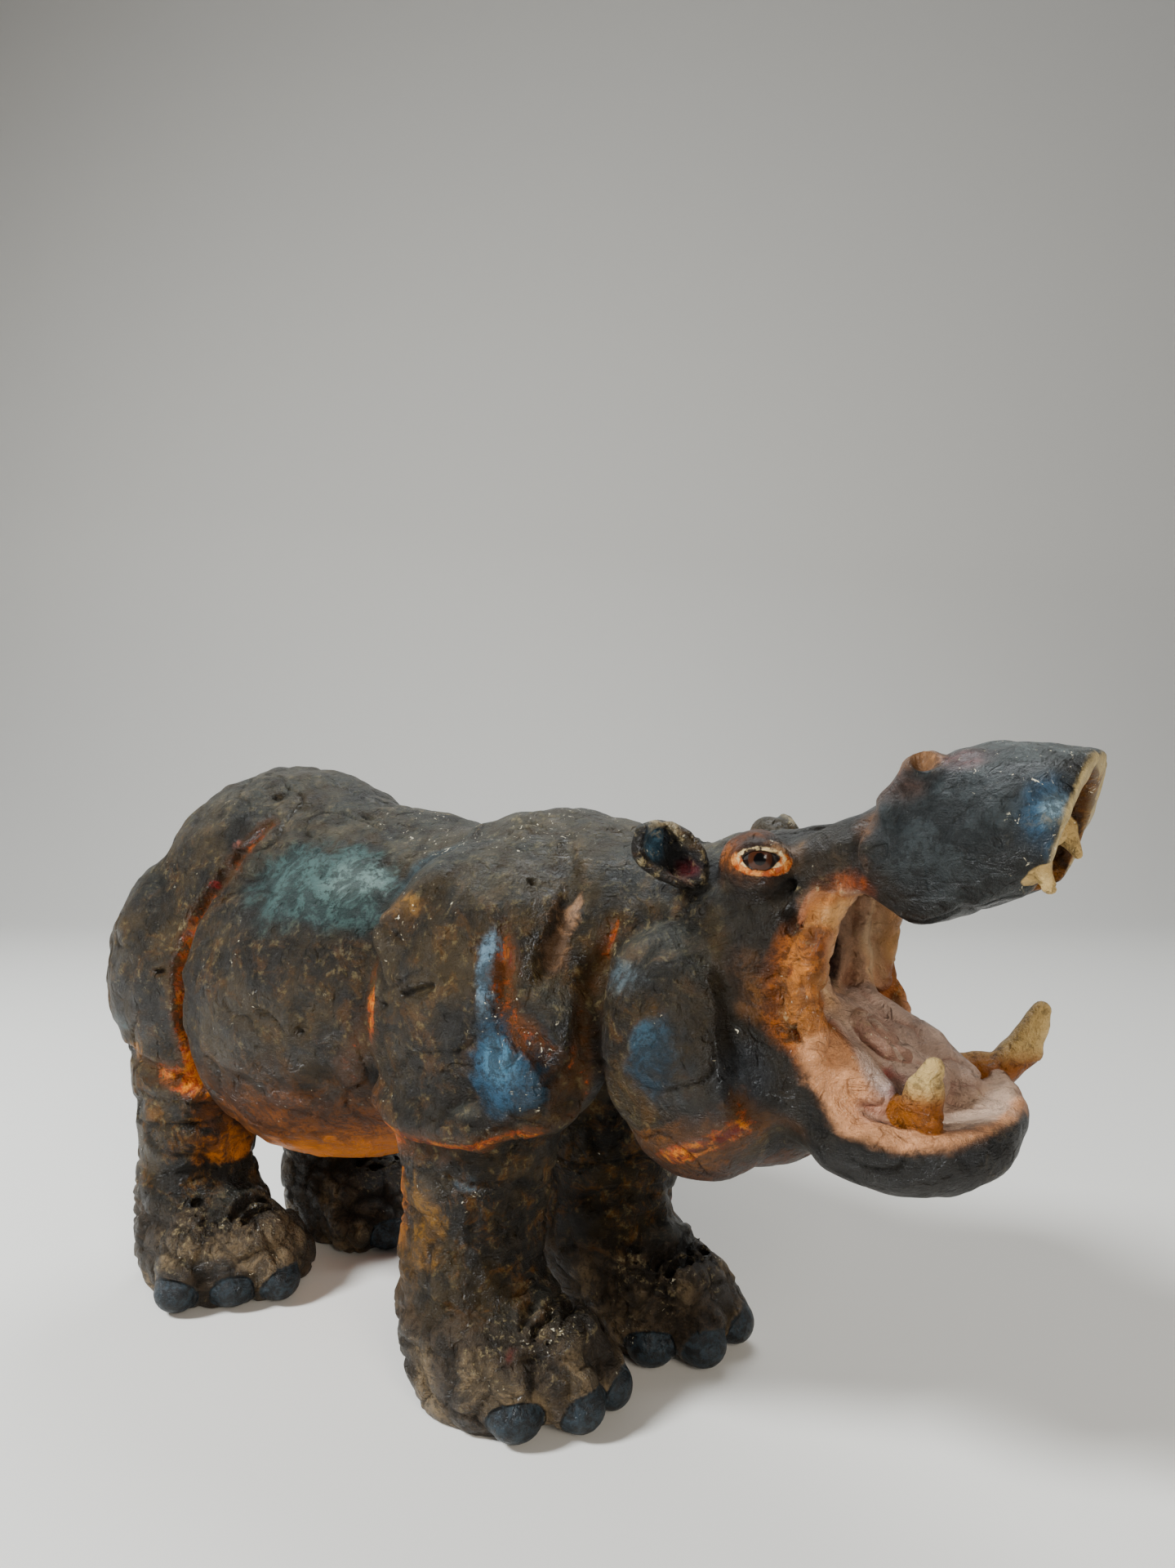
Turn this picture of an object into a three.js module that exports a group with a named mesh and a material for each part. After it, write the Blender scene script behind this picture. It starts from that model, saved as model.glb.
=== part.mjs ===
// A standing ceramic hippo with its mouth wide open, as one solid piece of fired clay.
// The right flank faces -Y, the head faces +X and the soles stand on z = 0.
import * as THREE from 'three';

// Driving dimension, in millimetres: from the back of the rump to the front of the snout.
const FIGURE_LENGTH = 460;

// The pose, the proportions and the carving are shares of that length: every number in the
// modelling below is in the clay's own units, about a hundredth of the length each.
const CLAY_LENGTH = 102.415;
const UNIT = FIGURE_LENGTH / CLAY_LENGTH;

// How finely the clay is read before it is thinned out, in units.
const BODY_STEP = 1.1;
const DETAIL_STEP = 0.65;
const HEAD_FROM_X = 16;
const HEAD_FROM_Z = 23;
const FEET_BELOW_Z = 9;

// How many flat facets the finished surface has, and how much more care the head gets with them.
const FACET_BUDGET = 9900;
const HEAD_CARE = 5;

// The space that the clay is modelled in, in units, and the distance that stands for empty air.
const SPACE = { x: [-52.5, 53], y: [-20.5, 20.5], z: [-1.5, 58] };
const EMPTY = 6;
const SOLE_FLATNESS = 0.06;

const SIDES = [-1, 1];
const radians = THREE.MathUtils.degToRad;

// Grid lines along one axis, finer inside the given stretches.
function gridLines([low, high], fineStretches) {
  const lines = [low];
  while (lines.at(-1) < high) {
    const here = lines.at(-1);
    const fine = fineStretches.some(([from, to]) => here >= from && here < to);
    lines.push(here + (fine ? DETAIL_STEP : BODY_STEP));
  }
  return lines;
}

// Modelling clay: a grid of distances to the surface, negative inside. Forms are pressed onto it
// or cut out of it one after another, and soft is the width over which each one blends in.
class Clay {
  constructor() {
    this.lines = [
      gridLines(SPACE.x, [[HEAD_FROM_X, SPACE.x[1]]]),
      gridLines(SPACE.y, [SPACE.y]),
      gridLines(SPACE.z, [[SPACE.z[0], FEET_BELOW_Z], [HEAD_FROM_Z, SPACE.z[1]]]),
    ];
    this.counts = this.lines.map((lines) => lines.length);
    this.values = new Float32Array(this.counts[0] * this.counts[1] * this.counts[2]).fill(EMPTY);
  }

  index(i, j, k) {
    return (i * this.counts[1] + j) * this.counts[2] + k;
  }

  // Blends one form in, over the part of the grid that its box reaches.
  press(low, high, soft, cut, distance) {
    const point = new THREE.Vector3();
    const reach = soft + 3;
    const [xs, ys, zs] = this.lines.map((lines, axis) => {
      const from = lines.findIndex((line) => line >= low.getComponent(axis) - reach);
      const past = lines.findIndex((line) => line > high.getComponent(axis) + reach);
      return [Math.max(from, 0), past < 0 ? lines.length : past];
    });
    for (let i = xs[0]; i < xs[1]; i++) {
      for (let j = ys[0]; j < ys[1]; j++) {
        for (let k = zs[0]; k < zs[1]; k++) {
          const at = this.index(i, j, k);
          point.set(this.lines[0][i], this.lines[1][j], this.lines[2][k]);
          const form = cut ? -distance(point) : distance(point);
          const here = this.values[at];
          const nearness = Math.max(soft - Math.abs(here - form), 0) / soft;
          const fillet = nearness * nearness * soft / 4;
          this.values[at] = cut ? Math.max(here, form) + fillet : Math.min(here, form) - fillet;
        }
      }
    }
  }

  // An egg: an ellipsoid with its own turn, in degrees about x, y and z.
  egg(centre, radii, { soft = 1.5, turn = [0, 0, 0], cut = false } = {}) {
    const middle = new THREE.Vector3(...centre);
    const size = new THREE.Vector3(...radii);
    const euler = new THREE.Euler(...turn.map(radians), 'ZYX');
    const back = new THREE.Quaternion().setFromEuler(euler).invert();
    const local = new THREE.Vector3();
    const scaled = new THREE.Vector3();
    const spread = new THREE.Vector3().setScalar(Math.max(...radii));
    const tiny = 1e-6;
    this.press(middle.clone().sub(spread), middle.clone().add(spread), soft, cut, (point) => {
      local.subVectors(point, middle).applyQuaternion(back);
      const level = scaled.copy(local).divide(size).length() + tiny;
      const slope = scaled.divide(size).length() + tiny;
      return level * (level - 1) / slope;
    });
  }

  // A limb: a chain of straight tapered rolls through the points, with a radius at each.
  limb(points, radii, { soft = 1.5, cut = false } = {}) {
    const joints = points.map((point) => new THREE.Vector3(...point));
    const box = new THREE.Box3().setFromPoints(joints).expandByScalar(Math.max(...radii));
    const along = new THREE.Vector3();
    const offset = new THREE.Vector3();
    this.press(box.min, box.max, soft, cut, (point) => {
      let nearest = Infinity;
      for (let n = 1; n < joints.length; n++) {
        along.subVectors(joints[n], joints[n - 1]);
        offset.subVectors(point, joints[n - 1]);
        const share = THREE.MathUtils.clamp(offset.dot(along) / along.lengthSq(), 0, 1);
        const radius = THREE.MathUtils.lerp(radii[n - 1], radii[n], share);
        nearest = Math.min(nearest, offset.addScaledVector(along, -share).length() - radius);
      }
      return nearest;
    });
  }

  // A slab: a turned box with rounded edges.
  slab(centre, halves, { soft = 0.6, turn = [0, 0, 0], rounding = 0.6, cut = false } = {}) {
    const middle = new THREE.Vector3(...centre);
    const core = new THREE.Vector3(...halves).subScalar(rounding);
    const euler = new THREE.Euler(...turn.map(radians), 'ZYX');
    const back = new THREE.Quaternion().setFromEuler(euler).invert();
    const spread = new THREE.Vector3().setScalar(new THREE.Vector3(...halves).length());
    const local = new THREE.Vector3();
    this.press(middle.clone().sub(spread), middle.clone().add(spread), soft, cut, (point) => {
      local.subVectors(point, middle).applyQuaternion(back);
      local.set(Math.abs(local.x), Math.abs(local.y), Math.abs(local.z)).sub(core);
      const inside = Math.min(Math.max(local.x, local.y, local.z), 0);
      return local.clampScalar(0, Infinity).length() + inside - rounding;
    });
  }

  // Cuts everything below a level off flat.
  floor(level, soft) {
    const low = new THREE.Vector3(SPACE.x[0], SPACE.y[0], SPACE.z[0]);
    const high = new THREE.Vector3(SPACE.x[1], SPACE.y[1], SPACE.z[1]);
    this.press(low, high, soft, true, (point) => point.z - level);
  }
}

// Where each leg stands: the leg's axis and girth, the middle of its pad, the outer bulge of the
// pad and the tip of each toe.
const FEET = {
  nearFore: {
    axis: [2.8, -8.7], girth: 1, pad: [5.6, -8.6], bulge: [5.2, -11.8],
    toes: [[10.0, -11.9], [13.0, -8.5], [13.0, -4.9]],
  },
  farFore: {
    axis: [4.0, 9.0], girth: 1.08, pad: [9.4, 9.2], bulge: [9.0, 13.6],
    toes: [[12.4, 4.6], [15.7, 6.7], [15.6, 11.3]],
  },
  nearHind: {
    axis: [-36.4, -9.2], girth: 1, pad: [-32.6, -9.4], bulge: [-27.2, -4.6],
    toes: [[-30.6, -14.8], [-28.0, -11.4], [-25.6, -8.4]],
  },
  farHind: {
    axis: [-35.6, 9.2], girth: 1, pad: [-32.2, 9.4], bulge: [-27.6, 4.6],
    toes: [[-26.0, 7.4], [-26.4, 11.6], [-29.6, 14.4]],
  },
};
const NAIL = [1.8, 2.2, 1.9];

function trunk(clay) {
  clay.egg([-17.4, 0, 31.9], [22.6, 17.6, 16.2], { turn: [0, -11, 0] });
  clay.egg([-23, 0, 30.4], [16, 16.8, 16.6], { soft: 3 });
  clay.limb([[-30, 0, 40], [-8, 0, 37.8], [6, 0, 38.2]], [12.6, 10.2, 11.4], { soft: 3 });
  clay.egg([-31.8, 0, 37.8], [16.6, 14.6, 16.3], { soft: 3 });
  for (const side of SIDES) {
    haunch(clay, side);
    shoulder(clay, side);
  }
  clay.limb([[-47.2, 0, 45], [-49.0, 0, 40], [-49.3, 0, 34.5]], [1.7, 1.5, 1.2], { soft: 0.8 });
}

function haunch(clay, side) {
  clay.egg([-37.2, side * 8.4, 32.0], [12.0, 8.6, 13.4], { soft: 0.8 });
}

// The shoulder, with the elbow's knob, two ridges of the upper arm and the cuff over the leg.
function shoulder(clay, side) {
  clay.egg([4.5, side * 9.4, 34.0], [11.8, 7.3, 13.0], { soft: 0.7, turn: [0, 6, 0] });
  clay.egg([13.2, side * 12.0, 31.0], [5.2, 4.9, 6.0], { soft: 1.4 });
  clay.limb([[8.5, side * 12.0, 41], [11, side * 13.4, 35.5]], [3.2, 3.0], { soft: 1.6 });
  clay.limb([[3.0, side * 12.6, 43.4], [-0.6, side * 14.6, 39.4]], [2.0, 1.7], { soft: 0.8 });
  const cuff = [[-3, side * 13.4, 25.2], [3, side * 15.0, 24.8], [9, side * 14.9, 25.2], [14.2, side * 13.2, 27]];
  clay.limb(cuff, [1.6, 1.9, 1.9, 1.6], { soft: 1.2 });
}

function legs(clay) {
  for (const [name, foot] of Object.entries(FEET)) {
    const [x, y] = foot.axis;
    const thick = (radii) => radii.map((radius) => radius * foot.girth);
    if (name.endsWith('Fore')) {
      clay.limb([[x + 1.2, y * 1.05, 26], [x + 0.2, y, 16], [x - 0.2, y, 8]], thick([7.2, 6.1, 6.3]), { soft: 0.6 });
    } else {
      clay.limb([[x + 0.3, y, 23], [x - 0.3, y, 13], [x - 0.1, y, 6]], thick([7.0, 5.9, 6.6]), { soft: 0.8 });
    }
    clay.egg([...foot.pad, 3.4], [8.0, 6.9, 6.2], { soft: 2.5 });
    toe(clay, foot.pad, foot.bulge);
    for (const tip of foot.toes) {
      toe(clay, foot.pad, tip);
    }
    for (const tip of foot.toes) {
      nail(clay, foot.pad, tip);
    }
  }
}

// A toe: a thick roll over the edge of the pad.
function toe(clay, [padX, padY], [tipX, tipY]) {
  const alongX = tipX - padX;
  const alongY = tipY - padY;
  const root = [padX + 0.2 * alongX, padY + 0.2 * alongY, 7.4];
  const knuckle = [padX + 0.7 * alongX, padY + 0.7 * alongY, 5.2];
  clay.limb([root, knuckle, [tipX, tipY, 2.8]], [3.4, 3.2, 2.8], { soft: 0.5 });
}

// A nail: a blunt round cap on the tip of a toe.
function nail(clay, [padX, padY], [tipX, tipY]) {
  const along = new THREE.Vector2(tipX - padX, tipY - padY);
  const bearing = THREE.MathUtils.radToDeg(along.angle());
  const ahead = along.normalize();
  clay.egg([tipX + 1.5 * ahead.x, tipY + 1.5 * ahead.y, 2.1], NAIL, { soft: 0.15, turn: [0, -15, bearing] });
}

function headMass(clay) {
  clay.limb([[7, 0, 37.5], [18, 0, 38.1], [25, 0, 40.4]], [12, 9.8, 7.4], { soft: 3 });
  clay.egg([25.6, 0, 40.4], [7.4, 8.8, 7.0], { soft: 2 });
  clay.limb([[27, 0, 43.0], [34, 0, 45.6], [40, 0, 48.2]], [5.0, 3.9, 4.4], { soft: 2 });
  for (const side of SIDES) {
    clay.egg([28.0, side * 6.0, 39.4], [4.8, 4.0, 6.2], { soft: 1.6 });
    clay.egg([24.6, side * 8.0, 32.3], [7.4, 6.2, 9.6], { soft: 0.7, turn: [0, -10, 0] });
    clay.egg([30.6, side * 6.0, 32.2], [6.0, 4.4, 4.4], { soft: 1.2, turn: [0, 32, 0] });
    clay.limb([[31, side * 4.4, 44.4], [38.6, side * 3.6, 47.6]], [3.2, 3.2], { soft: 1.2 });
  }
  clay.egg([25, 0, 28.2], [9.0, 9, 6.0], { soft: 2 });
}

// The lower jaw hangs a little lower on the near side than on the far side.
function lowerJaw(clay) {
  clay.egg([38.2, -0.2, 28.4], [8.4, 9.6, 4.6], { soft: 1.8, turn: [8, 6, 0] });
  clay.egg([33.0, 0, 30.8], [6, 7.6, 5.0], { soft: 1.5, turn: [8, 30, 0] });
}

// The muzzle is a hollow box with round corners. Its nostrils sit on two lumps at its root.
function muzzle(clay) {
  clay.egg([46.0, -0.6, 51.0], [6.9, 6.8, 4.0], { soft: 1.5 });
  clay.slab([47.4, -0.6, 50.6], [6.4, 6.2, 3.5], { soft: 1.5, turn: [0, -5, 0], rounding: 2.9 });
  for (const side of SIDES) {
    const flank = -0.6 + side * 3.8;
    clay.limb([[41.6, flank, 46.9], [48.8, flank, 49.9]], [4.35, 4.1], { soft: 1.5 });
    clay.limb([[40.6, side * 4.7 - 0.4, 50.6], [41.4, side * 4.9 - 0.4, 53.0]], [2.6, 1.8], { soft: 0.7 });
  }
}

// An ear: a cupped leaf that points forward and down.
function ear(clay, side) {
  const face = new THREE.Vector3(0.50, side * 0.84, 0.18).normalize();
  const long = new THREE.Vector3(0.63, side * -0.475, -0.61).normalize();
  const short = new THREE.Vector3().crossVectors(long, face).multiplyScalar(side);
  const at = (out, ahead, across) => new THREE.Vector3(23.6, side * 9.2, 46.9)
    .addScaledVector(face, out).addScaledVector(long, ahead).addScaledVector(short, across).toArray();
  const rim = [];
  for (let n = 0; n <= 12; n++) {
    const turn = 2 * Math.PI * n / 12;
    const width = 1.75 * (1 - 0.3 * Math.cos(turn));
    rim.push(at(0.5, 2.75 * Math.cos(turn), width * Math.sin(turn)));
  }
  clay.limb([at(-0.9, -1.3, 0), at(-0.9, 1.3, 0)], [1.9, 1.5], { soft: 0.8 });
  clay.limb(rim, rim.map(() => 0.55), { soft: 0.5 });
  clay.limb([at(0.75, -1.0, 0), at(0.75, 1.2, 0)], [1.45, 1.0], { soft: 0.3, cut: true });
}

// The lips' outer roll, from under the muzzle down to the lower jaw, and the roll inside it.
const LIP = [[37.6, 4.2, 46.0], [35.2, 6.2, 44.2], [33.8, 7.4, 41.2], [33.4, 7.8, 38.4], [33.8, 7.8, 36], [35.0, 7.8, 34.0]];
const INNER_LIP = [[36.8, 4.2, 45.8], [35.0, 5.8, 43.8], [34.2, 6.6, 41.4], [34.0, 6.8, 38.6]];

function onSide(path, side) {
  return path.map(([x, y, z]) => [x, side * y, z]);
}

function earsAndLips(clay) {
  for (const side of SIDES) {
    ear(clay, side);
    clay.limb(onSide(LIP, side), [0.9, 0.9, 0.9, 0.9, 0.9, 0.8], { soft: 1.2 });
    clay.egg([35.4, side * 4.0, 46.0], [3.2, 2.2, 2.4], { soft: 1.0 });
  }
}

// The open mouth from the throat to the palate, then the nostrils and the eyes.
function hollows(clay) {
  clay.slab([35.2, 0, 39.4], [2.8, 7.0, 6.2], { soft: 0.8, rounding: 2.4, cut: true });
  clay.egg([33.0, 0.7, 38.7], [2.8, 1.6, 2.2], { soft: 0.5, cut: true });
  clay.egg([50.4, -0.7, 48.3], [9.0, 5.2, 4.7], { soft: 0.8, turn: [0, 6, 0], cut: true });
  clay.slab([61.0, 0, 50.3], [10, 20, 14], { soft: 0.5, turn: [0, 17, 7], cut: true });
  clay.slab([44.6, 0, 36.6], [8, 16, 6.2], { soft: 1.2, turn: [9, 0, 0], rounding: 2, cut: true });
  clay.egg([40.6, 0.2, 32.2], [7.2, 8.3, 3.4], { soft: 0.8, turn: [9, 4, 0], cut: true });
  for (const side of SIDES) {
    clay.limb(onSide(INNER_LIP, side), [0.8, 1.0, 0.9, 0.7], { soft: 0.8 });
    clay.egg([42.0, side * 6.0 - 0.4, 54.2], [0.9, 0.8, 1.0], { soft: 0.4, cut: true });
    clay.egg([29.4, side * 6.6, 46.1], [2.9, 2.4, 2.7], { soft: 0.6 });
    clay.egg([30.4, side * 9.0, 46.8], [1.8, 0.9, 1.3], { soft: 0.3, cut: true });
    clay.egg([30.3, side * 7.7, 46.8], [1.35, 1.35, 1.35], { soft: 0.15 });
  }
}

// The deep folds of the hide, as grooves along the right flank that the left flank mirrors.
const FOLDS = [
  {
    name: 'between haunch and belly',
    path: [[-23.9, 9.7, 48.4], [-25.8, 13.1, 43.8], [-29, 15, 38.5], [-30.3, 15.5, 34], [-30, 15.2, 29], [-29.8, 13.2, 23.5]],
    depths: [0.4, 0.7, 0.9, 1.1, 1.3, 1.5],
    soft: 0.5,
  },
  {
    name: 'between belly and shoulder',
    path: [[-0.5, 12.6, 40.8], [-3.2, 14.8, 37.6], [-2.8, 15.6, 34.4], [-4, 16.2, 30.8], [-6, 16.2, 27], [-5.6, 14.6, 22.6]],
    depths: [0.4, 0.8, 0.9, 1.0, 1.1, 1.2],
    soft: 0.5,
  },
  {
    name: 'between shoulder and neck, round the elbow',
    path: [[11.4, 14.6, 41.2], [12.3, 15.2, 38.5], [12.5, 16.2, 36], [13.6, 16.4, 34.2], [16.4, 15.8, 32.2], [17.9, 14.6, 29.6],
      [17.2, 13.4, 26.4]],
    depths: [0.4, 0.7, 0.8, 0.8, 0.9, 1.2, 1.2],
    soft: 0.4,
  },
  {
    name: 'rear fold of the neck',
    path: [[10.5, 5.4, 48.6], [14.2, 9.2, 44.2], [14.6, 12.1, 39.7], [14.6, 13.7, 37]],
    depths: [0.2, 0.5, 0.5, 0.3],
    soft: 0.8,
  },
  {
    name: 'front fold of the neck',
    path: [[18.4, 9, 41.4], [17.2, 10.8, 37], [18.2, 13, 32.6], [18.2, 13.6, 29.4]],
    depths: [0.4, 0.9, 1.0, 1.2],
    soft: 0.8,
  },
  {
    name: 'under the cuff of the foreleg',
    path: [[-4.4, 13.8, 22.8], [2, 16.4, 22.4], [9, 16.4, 22.8], [14, 14.6, 24.2]],
    depths: [0.6, 0.7, 0.7, 0.6],
    soft: 0.5,
  },
  {
    name: 'over the hind leg',
    path: [[-44, 13.2, 24.6], [-38, 16.2, 23.8], [-33, 15.6, 22.8], [-30, 13, 21.8]],
    depths: [0.6, 0.8, 0.8, 0.6],
    soft: 0.5,
  },
  {
    name: 'under the cheek',
    path: [[28.8, 10.2, 40.6], [28.9, 10.9, 38.3], [30, 11, 36.2], [31.8, 9.8, 35], [33.6, 8.4, 34.6]],
    depths: [0.4, 0.8, 0.9, 0.8, 0.4],
    soft: 0.5,
  },
  {
    name: 'between jowl and jaw',
    path: [[29.6, 11.6, 35.6], [30.5, 12, 32], [30.9, 11.4, 29.2]],
    depths: [0.5, 0.8, 0.7],
    soft: 0.5,
  },
  {
    name: 'in front of the ear',
    path: [[21.7, 7.4, 44.3], [24.9, 10.4, 41.4], [26.9, 11.2, 39.8]],
    depths: [0.3, 0.6, 0.4],
    soft: 0.6,
  },
  {
    name: 'under the eye',
    path: [[28.8, 9.4, 44.9], [30.1, 8.9, 43.7], [31.6, 7.9, 43.9], [32.4, 7.0, 45.2]],
    depths: [0.3, 0.5, 0.5, 0.3],
    soft: 0.4,
  },
];

function folds(clay) {
  for (const side of SIDES) {
    for (const { path, depths, soft } of FOLDS) {
      clay.limb(onSide(path, side), depths, { soft, cut: true });
    }
  }
}

function tongueTusksAndTeeth(clay) {
  clay.limb([[33.4, -1.6, 33.8], [36.8, -1.8, 31.6], [39.4, -0.6, 30.4]], [2.7, 2.4, 1.8], { soft: 1.2 });
  clay.limb([[33.8, 2.6, 33.8], [38.0, 3.0, 31.6], [41.0, 3.0, 30.3]], [2.6, 2.4, 1.6], { soft: 1.2 });
  clay.limb([[33.6, -5.2, 33.4], [36.4, -5.6, 31.6], [38.6, -5.6, 30.6]], [2.0, 1.7, 1.2], { soft: 1.2 });
  clay.limb([[41.3, -5.7, 29.9], [41.9, -6.4, 31.6], [42.8, -7.0, 33.5]], [1.45, 1.2, 0.7], { soft: 0.4 });
  const farTusk = [[40.0, 6.0, 30.2], [42.5, 8.0, 30.0], [44.2, 8.5, 32.0], [45.4, 8.5, 35.0]];
  clay.limb(farTusk, [1.3, 1.45, 1.35, 0.85], { soft: 0.4 });
  clay.egg([40.4, -5.7, 29.8], [1.05, 1.05, 1.05], { soft: 0.3 });
  clay.egg([42.2, -6.3, 29.7], [0.95, 0.95, 0.95], { soft: 0.3 });
  clay.limb([[49.3, -6.2, 47.4], [50.0, -6.5, 45.9]], [0.85, 0.7], { soft: 0.3 });
  clay.limb([[46.3, 3.2, 50.4], [48.3, 3.3, 48.9], [49.5, 2.8, 47.3]], [1.1, 1.0, 0.7], { soft: 0.3 });
  clay.limb([[46.6, 1.0, 51.0], [48.5, 1.3, 48.6]], [0.9, 0.75], { soft: 0.3 });
}

// A cell's eight corners, its twelve edges as pairs of corners, and each corner's neighbours.
const CORNERS = [0, 1, 2, 3, 4, 5, 6, 7].map((n) => [n >> 2 & 1, n >> 1 & 1, n & 1]);
const CELL_EDGES = [];
for (let corner = 0; corner < 8; corner++) {
  for (const bit of [1, 2, 4]) {
    if (!(corner & bit)) {
      CELL_EDGES.push([corner, corner | bit]);
    }
  }
}

// Whether the corners that are in, and those that are out, each hang together along the edges.
function isPlainCell(inside) {
  const group = inside.map((_, corner) => corner);
  for (let pass = 0; pass < 8; pass++) {
    for (const [a, b] of CELL_EDGES) {
      if (inside[a] === inside[b]) {
        group[a] = group[b] = Math.min(group[a], group[b]);
      }
    }
  }
  return new Set(group).size <= 2;
}

const PLAIN = Array.from({ length: 256 }, (_, code) => isPlainCell(CORNERS.map((_, n) => (code >> n & 1) === 1)));

function forEachCell(clay, visit) {
  const corners = new Array(8);
  for (let i = 0; i < clay.counts[0] - 1; i++) {
    for (let j = 0; j < clay.counts[1] - 1; j++) {
      for (let k = 0; k < clay.counts[2] - 1; k++) {
        let code = 0;
        for (let n = 0; n < 8; n++) {
          corners[n] = clay.index(i + CORNERS[n][0], j + CORNERS[n][1], k + CORNERS[n][2]);
          code |= (clay.values[corners[n]] < 0 ? 1 : 0) << n;
        }
        visit(code, corners, [i, j, k]);
      }
    }
  }
}

// Fills the few cells where two sheets of surface would touch, so that the surface stays simple.
function settle(clay) {
  const filled = -0.05;
  for (let changed = true; changed;) {
    changed = false;
    forEachCell(clay, (code, corners) => {
      if (PLAIN[code]) {
        return;
      }
      const open = corners.filter((corner) => clay.values[corner] >= 0);
      open.sort((a, b) => clay.values[a] - clay.values[b]);
      clay.values[open[0]] = filled;
      changed = true;
    });
  }
}

// Reads the clay's surface: one point in each cell that the surface crosses, and two triangles
// round each grid edge that it crosses.
function readSurface(clay) {
  const points = [];
  const pointOfCell = new Map();
  forEachCell(clay, (code, corners, place) => {
    if (code === 0 || code === 255) {
      return;
    }
    const sum = new THREE.Vector3();
    let crossings = 0;
    for (const [a, b] of CELL_EDGES) {
      const [from, to] = [clay.values[corners[a]], clay.values[corners[b]]];
      if ((from < 0) === (to < 0)) {
        continue;
      }
      const share = from / (from - to);
      const ends = [a, b].map((n) => CORNERS[n].map((step, axis) => clay.lines[axis][place[axis] + step]));
      sum.add(new THREE.Vector3(...ends[0]).lerp(new THREE.Vector3(...ends[1]), share));
      crossings += 1;
    }
    pointOfCell.set(corners[0], points.length);
    points.push(sum.divideScalar(crossings));
  });

  const faces = [];
  const steps = [clay.index(1, 0, 0), clay.index(0, 1, 0), clay.index(0, 0, 1)];
  for (const corner of pointOfCell.keys()) {
    for (let axis = 0; axis < 3; axis++) {
      const [from, to] = [clay.values[corner], clay.values[corner + steps[axis]]];
      if ((from < 0) === (to < 0)) {
        continue;
      }
      const [u, v] = [steps[(axis + 1) % 3], steps[(axis + 2) % 3]];
      const ring = [corner, corner - u, corner - u - v, corner - v].map((cell) => pointOfCell.get(cell));
      if (from >= 0) {
        ring.reverse();
      }
      const [a, b, c, d] = ring;
      const shortWay = points[a].distanceTo(points[c]) < points[b].distanceTo(points[d]);
      faces.push(...(shortWay ? [[a, b, c], [a, c, d]] : [[a, b, d], [b, c, d]]));
    }
  }
  return { points, faces };
}

// A quadric sums squared distances to planes: xx, xy, xz, yy, yz, zz, then x, y, z and the constant.
function planeQuadric(normal, point, weight) {
  const { x, y, z } = normal;
  const d = -normal.dot(point);
  return [x * x, x * y, x * z, y * y, y * z, z * z, x * d, y * d, z * d, d * d].map((term) => term * weight);
}

function quadricError(q, { x, y, z }) {
  return q[0] * x * x + q[3] * y * y + q[5] * z * z + q[9]
    + 2 * (q[1] * x * y + q[2] * x * z + q[4] * y * z + q[6] * x + q[7] * y + q[8] * z);
}

// The point where the summed error is least, held gently to the middle of the edge.
function bestPoint(q, middle) {
  const hold = 0.002 * (q[0] + q[3] + q[5]) + 1e-9;
  const matrix = new THREE.Matrix3().set(q[0] + hold, q[1], q[2], q[1], q[3] + hold, q[4], q[2], q[4], q[5] + hold);
  const right = new THREE.Vector3(hold * middle.x - q[6], hold * middle.y - q[7], hold * middle.z - q[8]);
  return right.applyMatrix3(matrix.invert());
}

// A queue that hands out the cheapest entry first.
class CheapestFirst {
  constructor() {
    this.entries = [];
  }

  push(entry) {
    const heap = this.entries;
    let at = heap.push(entry) - 1;
    while (at > 0) {
      const parent = (at - 1) >> 1;
      if (heap[parent].cost <= heap[at].cost) {
        break;
      }
      [heap[parent], heap[at]] = [heap[at], heap[parent]];
      at = parent;
    }
  }

  pop() {
    const heap = this.entries;
    const top = heap[0];
    const last = heap.pop();
    if (heap.length > 0) {
      heap[0] = last;
      this.sink();
    }
    return top;
  }

  sink() {
    const heap = this.entries;
    let at = 0;
    for (;;) {
      let least = at;
      for (const child of [2 * at + 1, 2 * at + 2]) {
        if (child < heap.length && heap[child].cost < heap[least].cost) {
          least = child;
        }
      }
      if (least === at) {
        return;
      }
      [heap[least], heap[at]] = [heap[at], heap[least]];
      at = least;
    }
  }
}

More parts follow.
